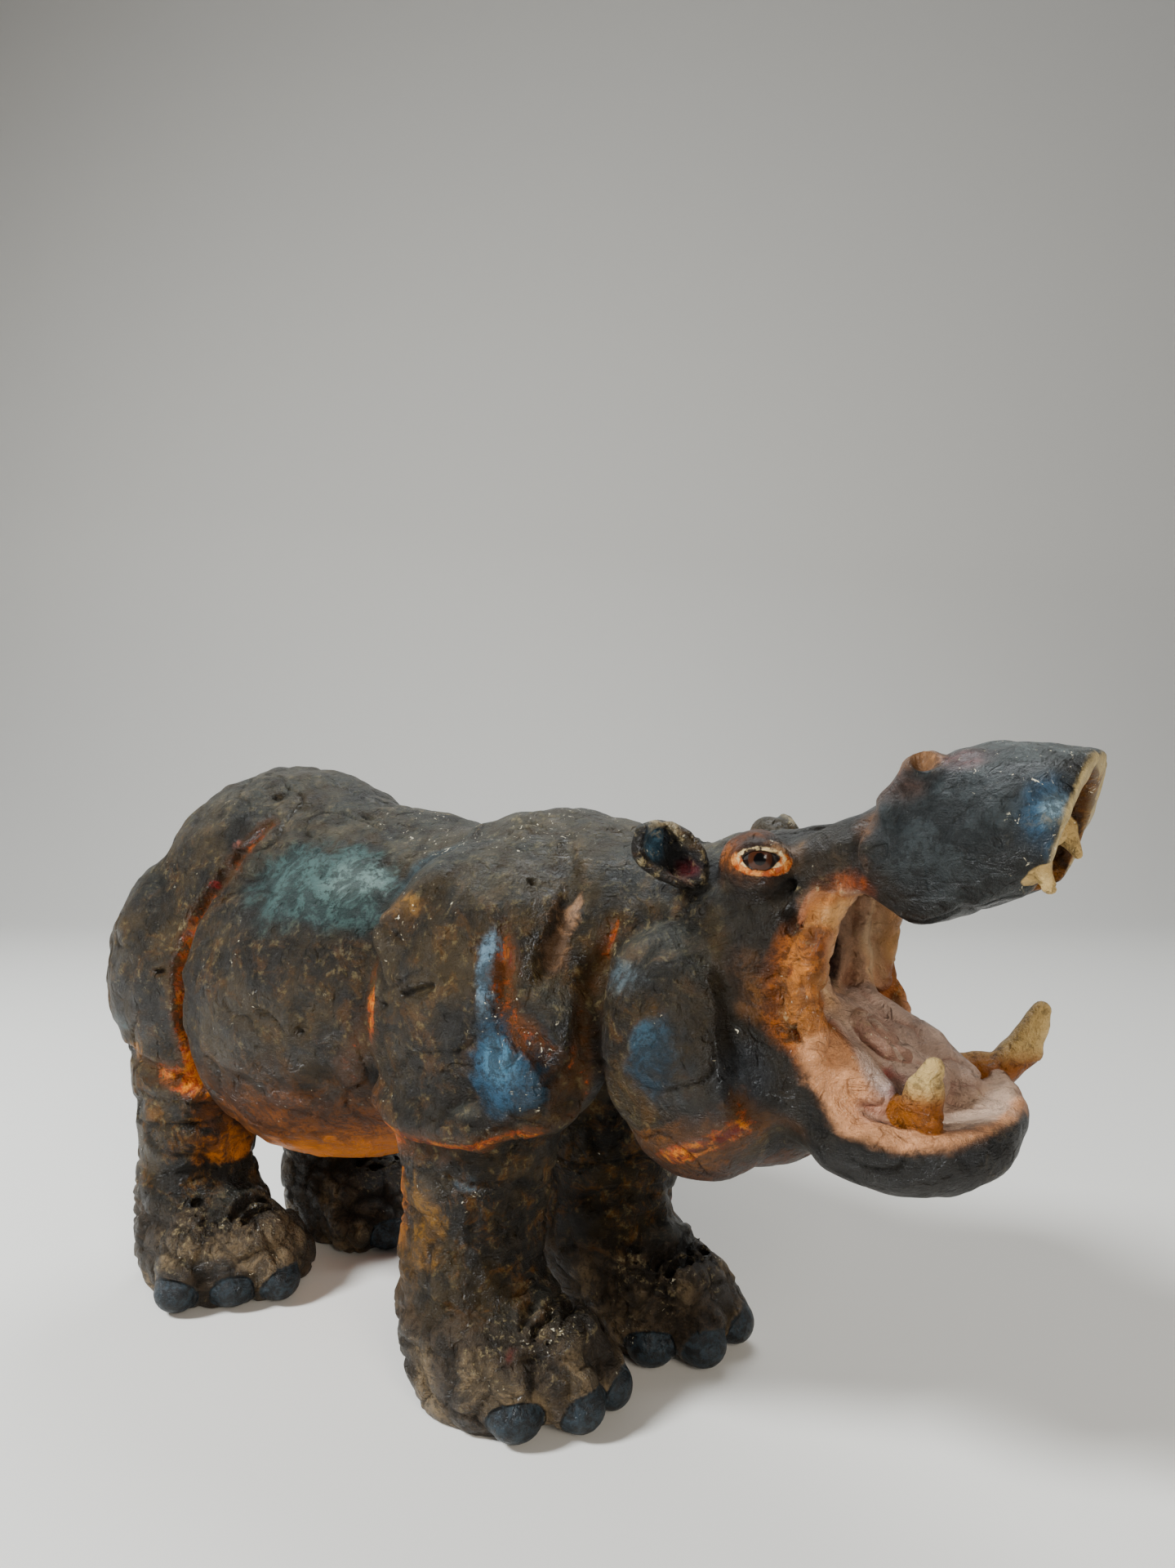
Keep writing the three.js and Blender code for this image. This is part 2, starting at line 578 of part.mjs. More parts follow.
// Merges the edges that matter least to the form, until the facets are down to the budget.
class Thinning {
  constructor({ points, faces }) {
    this.points = points;
    this.faces = faces;
    this.left = faces.length;
    this.facesOf = points.map(() => new Set());
    this.quadrics = points.map(() => new Array(10).fill(0));
    this.stamps = points.map(() => 0);
    this.queue = new CheapestFirst();
    faces.forEach((face, id) => this.weigh(face, id));
    points.forEach((_, a) => this.neighbours(a).forEach((b) => a < b && this.consider(a, b)));
  }

  normal(face, moved = -1, to = null) {
    const [a, b, c] = face.map((id) => (id === moved ? to : this.points[id]));
    return b.clone().sub(a).cross(c.clone().sub(a));
  }

  weigh(face, id) {
    const normal = this.normal(face);
    const area = normal.length() / 2;
    const place = this.points[face[0]];
    const care = place.x > HEAD_FROM_X && place.z > HEAD_FROM_Z ? HEAD_CARE : 1;
    const quadric = planeQuadric(normal.normalize(), place, area * care);
    for (const corner of face) {
      this.facesOf[corner].add(id);
      quadric.forEach((term, n) => { this.quadrics[corner][n] += term; });
    }
  }

  neighbours(a) {
    const found = new Set();
    for (const id of this.facesOf[a]) {
      this.faces[id].forEach((corner) => found.add(corner));
    }
    found.delete(a);
    return found;
  }

  consider(a, b) {
    const quadric = this.quadrics[a].map((term, n) => term + this.quadrics[b][n]);
    const middle = this.points[a].clone().lerp(this.points[b], 0.5);
    const place = bestPoint(quadric, middle);
    const length = this.points[a].distanceTo(this.points[b]);
    const cost = Math.max(quadricError(quadric, place), 0) + 1e-4 * length * length;
    this.queue.push({ cost, a, b, place, quadric, stamp: this.stamps[a] + this.stamps[b] });
  }

  // A merge is safe when it keeps the surface closed and simple and turns no facet over.
  isSafe({ a, b, place }) {
    const around = this.neighbours(b);
    const shared = [...this.neighbours(a)].filter((corner) => around.has(corner));
    if (shared.length !== 2) {
      return false;
    }
    return [[a, b], [b, a]].every(([moved, other]) => [...this.facesOf[moved]].every((id) => {
      const face = this.faces[id];
      if (face.includes(other)) {
        return true;
      }
      const before = this.normal(face);
      const after = this.normal(face, moved, place);
      return after.length() > 1e-3 && before.dot(after) > 0.5 * before.length() * after.length();
    }));
  }

  merge({ a, b, place, quadric }) {
    for (const id of this.facesOf[b]) {
      const face = this.faces[id];
      if (face.includes(a)) {
        face.forEach((corner) => corner !== b && this.facesOf[corner].delete(id));
        this.faces[id] = null;
        this.left -= 1;
      } else {
        face[face.indexOf(b)] = a;
        this.facesOf[a].add(id);
      }
    }
    this.facesOf[b].clear();
    this.points[a] = place;
    this.quadrics[a] = quadric;
    this.stamps[b] = Infinity;
    this.stamps[a] += 1;
    this.neighbours(a).forEach((corner) => this.consider(a, corner));
  }

  run(budget) {
    while (this.left > budget && this.queue.entries.length > 0) {
      const entry = this.queue.pop();
      const current = this.stamps[entry.a] + this.stamps[entry.b] === entry.stamp;
      if (current && this.isSafe(entry)) {
        this.merge(entry);
      }
    }
    return { points: this.points, faces: this.faces.filter((face) => face !== null) };
  }
}

// The clay surface as a geometry in millimetres, standing on its soles over the middle of its box.
function toGeometry({ points, faces }) {
  const used = [...new Set(faces.flat())];
  const place = new Map(used.map((id, n) => [id, n]));
  const positions = used.flatMap((id) => {
    const { x, y, z } = points[id];
    return [x, y, Math.abs(z) < SOLE_FLATNESS ? 0 : z];
  });
  const geometry = new THREE.BufferGeometry();
  geometry.setAttribute('position', new THREE.Float32BufferAttribute(positions, 3));
  geometry.setIndex(faces.flatMap((face) => face.map((id) => place.get(id))));
  geometry.scale(UNIT, UNIT, UNIT);
  geometry.computeBoundingBox();
  const middle = geometry.boundingBox.getCenter(new THREE.Vector3());
  geometry.translate(-middle.x, -middle.y, 0);
  geometry.computeVertexNormals();
  return geometry;
}

function buildHippo() {
  const clay = new Clay();
  trunk(clay);
  legs(clay);
  headMass(clay);
  lowerJaw(clay);
  muzzle(clay);
  earsAndLips(clay);
  hollows(clay);
  folds(clay);
  tongueTusksAndTeeth(clay);
  clay.floor(0, 0.6);
  settle(clay);
  return toGeometry(new Thinning(readSurface(clay)).run(FACET_BUDGET));
}

// Fired clay, stained charcoal brown and varnished to a satin sheen.
const stainedClay = new THREE.MeshStandardMaterial({ color: 0x4a4238, roughness: 0.42, metalness: 0 });

const hippo = new THREE.Mesh(buildHippo(), stainedClay);
hippo.name = 'hippo';

const group = new THREE.Group();
group.add(hippo);

export default group;
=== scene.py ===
"""A ceramic hippo with its mouth wide open, stained, painted in its folds and varnished.

The figure is modelled as clay: forms are pressed onto and cut out of a field of distances, and
its surface becomes one mesh. Paint masks are stored on the mesh and a node material paints it.
"""
import math

import bpy
import numpy as np
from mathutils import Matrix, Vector


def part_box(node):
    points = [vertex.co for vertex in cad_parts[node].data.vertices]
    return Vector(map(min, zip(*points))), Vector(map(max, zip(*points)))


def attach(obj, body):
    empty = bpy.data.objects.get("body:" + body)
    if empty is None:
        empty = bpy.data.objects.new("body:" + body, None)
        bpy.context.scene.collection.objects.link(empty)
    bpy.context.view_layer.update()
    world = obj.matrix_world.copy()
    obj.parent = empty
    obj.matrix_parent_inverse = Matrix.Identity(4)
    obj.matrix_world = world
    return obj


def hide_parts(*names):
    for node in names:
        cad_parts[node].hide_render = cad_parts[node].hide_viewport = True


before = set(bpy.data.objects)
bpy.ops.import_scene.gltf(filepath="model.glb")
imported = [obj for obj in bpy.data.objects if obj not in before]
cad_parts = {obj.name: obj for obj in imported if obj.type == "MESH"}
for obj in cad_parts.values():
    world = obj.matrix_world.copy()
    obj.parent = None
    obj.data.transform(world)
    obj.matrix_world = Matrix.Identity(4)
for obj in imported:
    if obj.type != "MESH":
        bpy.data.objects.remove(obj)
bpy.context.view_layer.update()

# The clay's own units: the figure's length holds this many, and its box starts at this corner.
CLAY_LENGTH = 102.415
CLAY_LOW_X = -50.449
CLAY_LOW_Y = -18.025
NODE = "hippo"
CAD_LOW, CAD_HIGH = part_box(NODE)
UNIT = (CAD_HIGH.x - CAD_LOW.x) / CLAY_LENGTH

# How finely the clay is read, in its units, and how many triangles the mesh keeps.
BODY_STEP = 0.36
HEAD_STEP = 0.24
HEAD_FROM_X = 21.0
HEAD_FROM_Z = 27.0
TRIANGLES = 196000
SPACE_LOW = (-52.4, -19.4, -1.2)
SPACE_HIGH = (53.9, 19.4, 57.4)
EMPTY = 6.0
MARGIN = 2.6

SIDES = (-1, 1)


def to_metres(points):
    """Clay coordinates as metres in the part's frame."""
    shifted = points - np.array([CLAY_LOW_X, CLAY_LOW_Y, 0.0])
    return shifted * UNIT + np.array([CAD_LOW.x, CAD_LOW.y, 0.0])


# Distances to forms. A place is three arrays, x, y and z, that broadcast together.


def turn_matrix(turn):
    """Rotation about x, then y, then z, in degrees."""
    a, b, c = np.radians(turn)
    about_x = np.array([[1, 0, 0], [0, np.cos(a), -np.sin(a)], [0, np.sin(a), np.cos(a)]])
    about_y = np.array([[np.cos(b), 0, np.sin(b)], [0, 1, 0], [-np.sin(b), 0, np.cos(b)]])
    about_z = np.array([[np.cos(c), -np.sin(c), 0], [np.sin(c), np.cos(c), 0], [0, 0, 1]])
    return about_z @ about_y @ about_x


def into_form(place, centre, turn):
    """The place seen from a turned form's own axes."""
    offset = [place[n] - centre[n] for n in range(3)]
    axes = turn_matrix(turn).T
    return [sum(axes[row, n] * offset[n] for n in range(3)) for row in range(3)]


def egg_distance(place, centre, radii, turn=(0, 0, 0)):
    local = into_form(place, centre, turn)
    tiny = 1e-6
    level = np.sqrt(sum((local[n] / radii[n]) ** 2 for n in range(3))) + tiny
    slope = np.sqrt(sum((local[n] / radii[n] ** 2) ** 2 for n in range(3))) + tiny
    return level * (level - 1) / slope


def limb_distance(place, points, radii):
    nearest = np.inf
    for start, end, first, last in zip(points[:-1], points[1:], radii[:-1], radii[1:]):
        along = np.subtract(end, start).astype(float)
        offset = [place[n] - start[n] for n in range(3)]
        share = sum(offset[n] * along[n] for n in range(3)) / (along @ along)
        share = np.clip(share, 0, 1)
        gap = np.sqrt(sum((offset[n] - share * along[n]) ** 2 for n in range(3)))
        nearest = np.minimum(nearest, gap - (first + (last - first) * share))
    return nearest


def slab_distance(place, centre, halves, turn, rounding):
    local = into_form(place, centre, turn)
    over = [np.abs(local[n]) - (halves[n] - rounding) for n in range(3)]
    outside = np.sqrt(sum(np.maximum(o, 0) ** 2 for o in over))
    inside = np.minimum(np.maximum(np.maximum(over[0], over[1]), over[2]), 0)
    return outside + inside - rounding


def blend_corners(rest, value_at):
    """The mean of the values at a cell's eight corners, weighted by how near each point lies to them."""
    total = np.zeros(len(rest))
    for corner in np.ndindex(2, 2, 2):
        bits = np.array(corner)
        total += np.prod(np.where(bits, rest, 1 - rest), axis=1) * value_at(bits)
    return total


def grid_lines(low, high, fine_from):
    """Grid lines along one axis, closer together from fine_from on."""
    body = np.arange(low, fine_from, BODY_STEP)
    head = np.arange(body[-1] + BODY_STEP, high, HEAD_STEP)
    return np.concatenate([body, head]).astype(np.float32)


class Clay:
    """A grid of distances to the surface, negative inside, that forms are blended into."""

    def __init__(self):
        self.lines = [
            grid_lines(SPACE_LOW[0], SPACE_HIGH[0], HEAD_FROM_X),
            grid_lines(SPACE_LOW[1], SPACE_HIGH[1], SPACE_LOW[1] + 2 * BODY_STEP),
            grid_lines(SPACE_LOW[2], SPACE_HIGH[2], HEAD_FROM_Z),
        ]
        self.values = np.full([len(line) for line in self.lines], EMPTY, np.float32)

    def blend(self, low, high, soft, cut, distance):
        windows = []
        for axis in range(3):
            start = np.searchsorted(self.lines[axis], low[axis] - soft - MARGIN)
            stop = np.searchsorted(self.lines[axis], high[axis] + soft + MARGIN)
            windows.append(slice(start, stop))
        x, y, z = [self.lines[axis][windows[axis]] for axis in range(3)]
        form = distance((x[:, None, None], y[None, :, None], z[None, None, :])).astype(np.float32)
        here = self.values[tuple(windows)]
        form = -form if cut else form
        fillet = np.maximum(soft - np.abs(here - form), 0) ** 2 / (4 * soft)
        blended = np.maximum(here, form) + fillet if cut else np.minimum(here, form) - fillet
        self.values[tuple(windows)] = blended

    def egg(self, centre, radii, soft=1.5, turn=(0, 0, 0), cut=False):
        spread = np.sqrt((turn_matrix(turn) ** 2) @ (np.array(radii, float) ** 2))
        self.blend(centre - spread, centre + spread, soft, cut,
                   lambda place: egg_distance(place, centre, radii, turn))

    def limb(self, points, radii, soft=1.5, cut=False):
        reach = max(radii)
        low, high = np.min(points, 0) - reach, np.max(points, 0) + reach
        self.blend(low, high, soft, cut, lambda place: limb_distance(place, points, radii))

    def slab(self, centre, halves, soft=0.6, turn=(0, 0, 0), rounding=0.6, cut=False):
        spread = np.abs(turn_matrix(turn)) @ np.array(halves, float)
        self.blend(centre - spread, centre + spread, soft, cut,
                   lambda place: slab_distance(place, centre, halves, turn, rounding))

    def floor(self, level, soft):
        """Cuts everything off flat below a level."""
        self.blend(SPACE_LOW, SPACE_HIGH, soft, True,
                   lambda place: place[2] - level + 0 * place[0] + 0 * place[1])

    def sample(self, points):
        """The distance at each of many points, read between the grid's lines."""
        spot = np.stack([np.interp(points[:, n], line, np.arange(len(line)))
                         for n, line in enumerate(self.lines)], axis=1)
        base = np.minimum(spot.astype(int), np.array(self.values.shape) - 2)
        return blend_corners(spot - base, lambda bits: self.values[tuple((base + bits).T)])

    def normals(self, points):
        reach = HEAD_STEP
        slope = np.empty_like(points)
        for axis in range(3):
            shift = np.zeros(3)
            shift[axis] = reach
            slope[:, axis] = self.sample(points + shift) - self.sample(points - shift)
        return slope / np.maximum(np.linalg.norm(slope, axis=1, keepdims=True), 1e-9)


# The figure

# Each foot's leg axis and girth, pad and toe tips, from above. A bulge is a toe without a nail.
FEET = {
    "near_fore": {"axis": (2.8, -8.7), "girth": 1.0, "pad": (5.6, -8.6), "bulge": (5.2, -11.8),
                  "toes": ((10.0, -11.9), (13.0, -8.5), (13.0, -4.9))},
    "far_fore": {"axis": (4.0, 9.0), "girth": 1.08, "pad": (9.4, 9.2), "bulge": (9.0, 13.6),
                 "toes": ((12.4, 4.6), (15.7, 6.7), (15.6, 11.3))},
    "near_hind": {"axis": (-36.4, -9.2), "girth": 1.0, "pad": (-32.6, -9.4), "bulge": (-27.2, -4.6),
                  "toes": ((-30.6, -14.8), (-28.0, -11.4), (-25.6, -8.4))},
    "far_hind": {"axis": (-35.6, 9.2), "girth": 1.0, "pad": (-32.2, 9.4), "bulge": (-27.6, 4.6),
                 "toes": ((-26.0, 7.4), (-26.4, 11.6), (-29.6, 14.4))},
}
NAIL = (1.8, 2.2, 1.9)
NAIL_HEIGHT = 2.1
NAIL_TILT = -15


def trunk(clay):
    clay.egg((-17.4, 0, 31.9), (22.6, 17.6, 16.2), turn=(0, -11, 0))
    clay.egg((-23, 0, 30.4), (16, 16.8, 16.6), soft=3)
    clay.limb(((-30, 0, 40), (-8, 0, 37.8), (6, 0, 38.2)), (12.6, 10.2, 11.4), soft=3)
    clay.egg((-31.8, 0, 37.8), (16.6, 14.6, 16.3), soft=3)
    for side in SIDES:
        clay.egg((-37.2, side * 8.4, 32.0), (12.0, 8.6, 13.4), soft=0.8)
        shoulder(clay, side)
    clay.limb(((-47.2, 0, 45), (-49.0, 0, 40), (-49.3, 0, 34.5)), (1.7, 1.5, 1.2), soft=0.8)


def shoulder(clay, side):
    clay.egg((4.5, side * 9.4, 34.0), (11.8, 7.3, 13.0), soft=0.7, turn=(0, 6, 0))
    clay.egg((13.2, side * 12.0, 31.0), (5.2, 4.9, 6.0), soft=1.4)
    clay.limb(((8.5, side * 12.0, 41), (11, side * 13.4, 35.5)), (3.2, 3.0), soft=1.6)
    clay.limb(((3.0, side * 12.6, 43.4), (-0.6, side * 14.6, 39.4)), (2.0, 1.7), soft=0.8)
    cuff = ((-3, side * 13.4, 25.2), (3, side * 15.0, 24.8), (9, side * 14.9, 25.2), (14.2, side * 13.2, 27))
    clay.limb(cuff, (1.6, 1.9, 1.9, 1.6), soft=1.2)


def legs(clay):
    for name, foot in FEET.items():
        x, y = foot["axis"]
        if name.endswith("fore"):
            joints = ((x + 1.2, y * 1.05, 26), (x + 0.2, y, 16), (x - 0.2, y, 8))
            clay.limb(joints, np.array((7.2, 6.1, 6.3)) * foot["girth"], soft=0.6)
        else:
            joints = ((x + 0.3, y, 23), (x - 0.3, y, 13), (x - 0.1, y, 6))
            clay.limb(joints, np.array((7.0, 5.9, 6.6)) * foot["girth"], soft=0.8)
        clay.egg((*foot["pad"], 3.4), (8.0, 6.9, 6.2), soft=2.5)
        toe(clay, foot["pad"], foot["bulge"])
        for tip in foot["toes"]:
            toe(clay, foot["pad"], tip)
            knuckle_folds(clay, foot["pad"], tip)
        for first, second in zip(foot["toes"][:-1], foot["toes"][1:]):
            cleft(clay, foot["pad"], first, second)
        for tip in foot["toes"]:
            nail, bearing = nail_place(foot["pad"], tip)
            clay.egg(nail, NAIL, soft=0.1, turn=(0, NAIL_TILT, bearing))


def toe_axis(pad, tip):
    """A toe's root, knuckle and tip."""
    along = np.subtract(tip, pad)
    root = (pad[0] + 0.2 * along[0], pad[1] + 0.2 * along[1], 7.4)
    knuckle = (pad[0] + 0.7 * along[0], pad[1] + 0.7 * along[1], 5.2)
    return root, knuckle, (*tip, 2.8)


def toe(clay, pad, tip):
    clay.limb(toe_axis(pad, tip), (3.4, 3.2, 2.8), soft=0.5)


def cleft_path(pad, first, second):
    """Up the gap between two toes, from the ground to the top of the foot."""
    front = 0.5 * np.add(first, second)
    back = 0.75 * front + 0.25 * np.array(pad)
    return (*front, 1.0), (*(front - 0.1 * (front - pad)), 4.4), (*back, 7.4)


def cleft(clay, pad, first, second):
    clay.limb(cleft_path(pad, first, second), (0.8, 0.75, 0.2), soft=0.8, cut=True)


def knuckle_folds(clay, pad, tip):
    """Creases across the top of a toe."""
    _, knuckle, end = (np.array(point) for point in toe_axis(pad, tip))
    ahead = (end - knuckle)[:2] / np.linalg.norm((end - knuckle)[:2])
    across = np.array([-ahead[1], ahead[0], 0])
    for share, height in ((-0.35, 3.4), (0.1, 3.3), (0.5, 3.1)):
        middle = knuckle + share * (end - knuckle)
        arc = [middle + 2.9 * math.cos(t) * across + (0, 0, height * math.sin(t))
               for t in np.linspace(0.5, 2.64, 5)]
        clay.limb(arc, (0.25, 0.45, 0.5, 0.45, 0.25), soft=0.5, cut=True)


def nail_place(pad, tip):
    """Where a toe's nail sits, and its bearing in degrees."""
    along = np.subtract(tip, pad)
    ahead = along / np.linalg.norm(along)
    place = (tip[0] + 1.5 * ahead[0], tip[1] + 1.5 * ahead[1], NAIL_HEIGHT)
    return place, math.degrees(math.atan2(ahead[1], ahead[0]))


def head_mass(clay):
    clay.limb(((7, 0, 37.5), (18, 0, 38.1), (25, 0, 40.4)), (12, 9.8, 7.4), soft=3)
    clay.egg((25.6, 0, 40.4), (7.4, 8.8, 7.0), soft=2)
    clay.limb(((27, 0, 43.0), (34, 0, 45.6), (40, 0, 48.2)), (5.0, 3.9, 4.4), soft=2)
    for side in SIDES:
        clay.egg((28.0, side * 6.0, 39.4), (4.8, 4.0, 6.2), soft=1.6)
        clay.egg((24.6, side * 8.0, 32.3), (7.4, 6.2, 9.6), soft=0.7, turn=(0, -10, 0))
        clay.egg((30.6, side * 6.0, 32.2), (6.0, 4.4, 4.4), soft=1.2, turn=(0, 32, 0))
        clay.limb(((31, side * 4.4, 44.4), (38.6, side * 3.6, 47.6)), (3.2, 3.2), soft=1.2)
    clay.egg((25, 0, 28.2), (9.0, 9, 6.0), soft=2)


def lower_jaw(clay):
    clay.egg((38.2, -0.2, 28.4), (8.4, 9.6, 4.6), soft=1.8, turn=(8, 6, 0))
    clay.egg((33.0, 0, 30.8), (6, 7.6, 5.0), soft=1.5, turn=(8, 30, 0))


def muzzle(clay):
    clay.egg((46.0, -0.6, 51.0), (6.9, 6.8, 4.0), soft=1.5)
    clay.slab((47.4, -0.6, 50.6), (6.4, 6.2, 3.5), soft=1.5, turn=(0, -5, 0), rounding=2.9)
    for side in SIDES:
        flank = -0.6 + side * 3.8
        clay.limb(((41.6, flank, 46.9), (48.8, flank, 49.9)), (4.35, 4.1), soft=1.5)
        clay.limb(((40.6, side * 4.7 - 0.4, 50.6), (41.4, side * 4.9 - 0.4, 53.0)), (2.6, 1.8), soft=0.7)


LIP = ((37.6, 4.2, 46.0), (35.2, 6.2, 44.2), (33.8, 7.4, 41.2), (33.4, 7.8, 38.4), (33.8, 7.8, 36),
       (35.0, 7.8, 34.0))
INNER_LIP = ((36.8, 4.2, 45.8), (35.0, 5.8, 43.8), (34.2, 6.6, 41.4), (34.0, 6.8, 38.6))
EYE = (30.3, 7.7, 46.8)
EYE_RADIUS = 1.35
GAZE = (0.38, 0.92, 0.10)
LID_HALF_WIDTH = 1.75
UPPER_LID = 0.95
LOWER_LID = -0.9
EAR = (23.6, 9.2, 46.9)
EAR_FACE = (0.50, 0.84, 0.18)
EAR_LONG = (0.63, -0.475, -0.61)


def mirrored(path, side):
    """A path along the left flank, on the flank that side says: 1 for left and -1 for right."""
    return [(x, side * y, z) for x, y, z in path]


def on_side(vector, side):
    x, y, z = vector
    return np.array([x, side * y, z])


def unit(vector):
    return np.asarray(vector, float) / np.linalg.norm(vector)


def lid_arc(side, opening, ahead=0.72):
    """An eyelid's edge: an arc over the eyeball, above it or, with a negative opening, below."""
    gaze = unit(on_side(GAZE, side))
    along = unit(np.cross((0, 0, 1), gaze)) * -side
    up = np.array([0, 0, 1.0])
    middle = on_side(EYE, side) + ahead * gaze
    return [middle + LID_HALF_WIDTH * math.cos(t) * along + opening * math.sin(t) * up
            - 0.45 * abs(math.cos(t)) * gaze for t in np.linspace(0, math.pi, 7)]


def eye(clay, side):
    clay.egg((29.4, side * 6.6, 46.1), (2.9, 2.4, 2.7), soft=0.6)
    clay.egg((30.4, side * 9.0, 46.8), (1.8, 0.9, 1.3), soft=0.3, cut=True)
    clay.egg(on_side(EYE, side), (EYE_RADIUS,) * 3, soft=0.1)
    clay.limb(lid_arc(side, UPPER_LID), (0.35, 0.5, 0.56, 0.58, 0.56, 0.5, 0.35), soft=0.2)
    clay.limb(lid_arc(side, LOWER_LID), (0.35, 0.42, 0.5, 0.52, 0.5, 0.42, 0.35), soft=0.2)


def ear_ring(side, grow=1.0):
    """The ear's rim: a leaf that narrows towards its lower front end."""
    face = unit(on_side(EAR_FACE, side))
    long = unit(on_side(EAR_LONG, side))
    short = np.cross(long, face) * side
    middle = on_side(EAR, side) + 0.5 * face
    ring = []
    for t in np.linspace(0, 2 * math.pi, 13):
        width = 1.75 * (1 - 0.3 * math.cos(t))
        ring.append(middle + grow * (2.75 * math.cos(t) * long + width * math.sin(t) * short))
    return ring


def ear(clay, side):
    face = unit(on_side(EAR_FACE, side))
    long = unit(on_side(EAR_LONG, side))
    middle = on_side(EAR, side)
    back = middle - 0.9 * face
    clay.limb((back - 1.3 * long, back + 1.3 * long), (1.9, 1.5), soft=0.8)
    clay.limb(ear_ring(side), (0.42,) * 13, soft=0.5)
    cup = middle + 0.75 * face
    clay.limb((cup - 1.0 * long, cup + 1.2 * long), (1.45, 1.0), soft=0.3, cut=True)


def ears_and_lips(clay):
    for side in SIDES:
        ear(clay, side)
        clay.limb(mirrored(LIP, side), (0.9, 0.9, 0.9, 0.9, 0.9, 0.8), soft=1.2)
        clay.egg((35.4, side * 4.0, 46.0), (3.2, 2.2, 2.4), soft=1.0)


MOUTH = ((35.2, 0, 39.4), (2.8, 7.0, 6.2))
MOUTH_ROUNDING = 2.4
THROAT = ((33.0, 0.7, 38.7), (2.8, 1.6, 2.2))
THROAT_SLIT = (((32.9, 1.6, 41.2), (33.2, 2.2, 43.2)), (0.75, 0.45))
CHEEK_RIDGES = (
    ((33.2, -5.6, 36.4), (32.9, -5.0, 40.0), (33.8, -4.2, 43.6)),
    ((33.0, -3.2, 36.2), (32.5, -2.9, 39.8), (33.2, -2.0, 43.8)),
    ((33.0, 4.2, 36.2), (32.6, 4.4, 40.0), (33.4, 3.8, 43.8)),
    ((33.8, 6.0, 36.6), (33.2, 6.0, 40.0), (34.2, 5.4, 43.4)),
)
PALATE = ((50.4, -0.7, 48.3), (9.0, 5.2, 4.7), (0, 6, 0))
JAW_FLOOR = ((40.6, 0.2, 32.2), (7.2, 8.3, 3.4), (9, 4, 0))
SNOUT_CUT = ((61.0, 0, 50.3), (10, 20, 14), (0, 17, 7), 0.6)

# The crease between the floor of the mouth and its rim, and the rim itself.
FLOOR_CREASE = ((36.4, 6.2, 32.0), (38.0, 6.8, 29.9), (40.4, 7.0, 28.9), (42.8, 5.6, 28.6), (44.4, 2.6, 28.8))
JAW_RIM = ((35.4, 7.9, 33.2), (38.0, 8.9, 30.6), (41.0, 8.8, 29.4), (43.6, 7.0, 29.0), (45.4, 4.0, 29.2),
           (46.0, 0.6, 29.6))


def hollows(clay):
    clay.slab(*MOUTH, soft=0.8, rounding=MOUTH_ROUNDING, cut=True)
    for ridge in CHEEK_RIDGES:
        clay.limb(ridge, (0.9, 0.8, 0.7), soft=0.5)
    clay.egg(*THROAT, soft=0.5, cut=True)
    clay.limb(*THROAT_SLIT, soft=0.3, cut=True)
    clay.egg(PALATE[0], PALATE[1], soft=0.8, turn=PALATE[2], cut=True)
    clay.slab(SNOUT_CUT[0], SNOUT_CUT[1], soft=0.5, turn=SNOUT_CUT[2], rounding=SNOUT_CUT[3], cut=True)
    clay.slab((44.6, 0, 36.6), (8, 16, 6.2), soft=1.2, turn=(9, 0, 0), rounding=2, cut=True)
    clay.egg(JAW_FLOOR[0], JAW_FLOOR[1], soft=0.8, turn=JAW_FLOOR[2], cut=True)
    for side in SIDES:
        clay.limb(mirrored(INNER_LIP, side), (1.0, 1.25, 1.1, 0.8), soft=0.8)
        clay.limb(mirrored(FLOOR_CREASE, side), (0.3, 0.4, 0.4, 0.3, 0.2), soft=0.4, cut=True)
        clay.egg((42.0, side * 6.0 - 0.4, 54.2), (0.9, 0.8, 1.0), soft=0.4, cut=True)
        eye(clay, side)


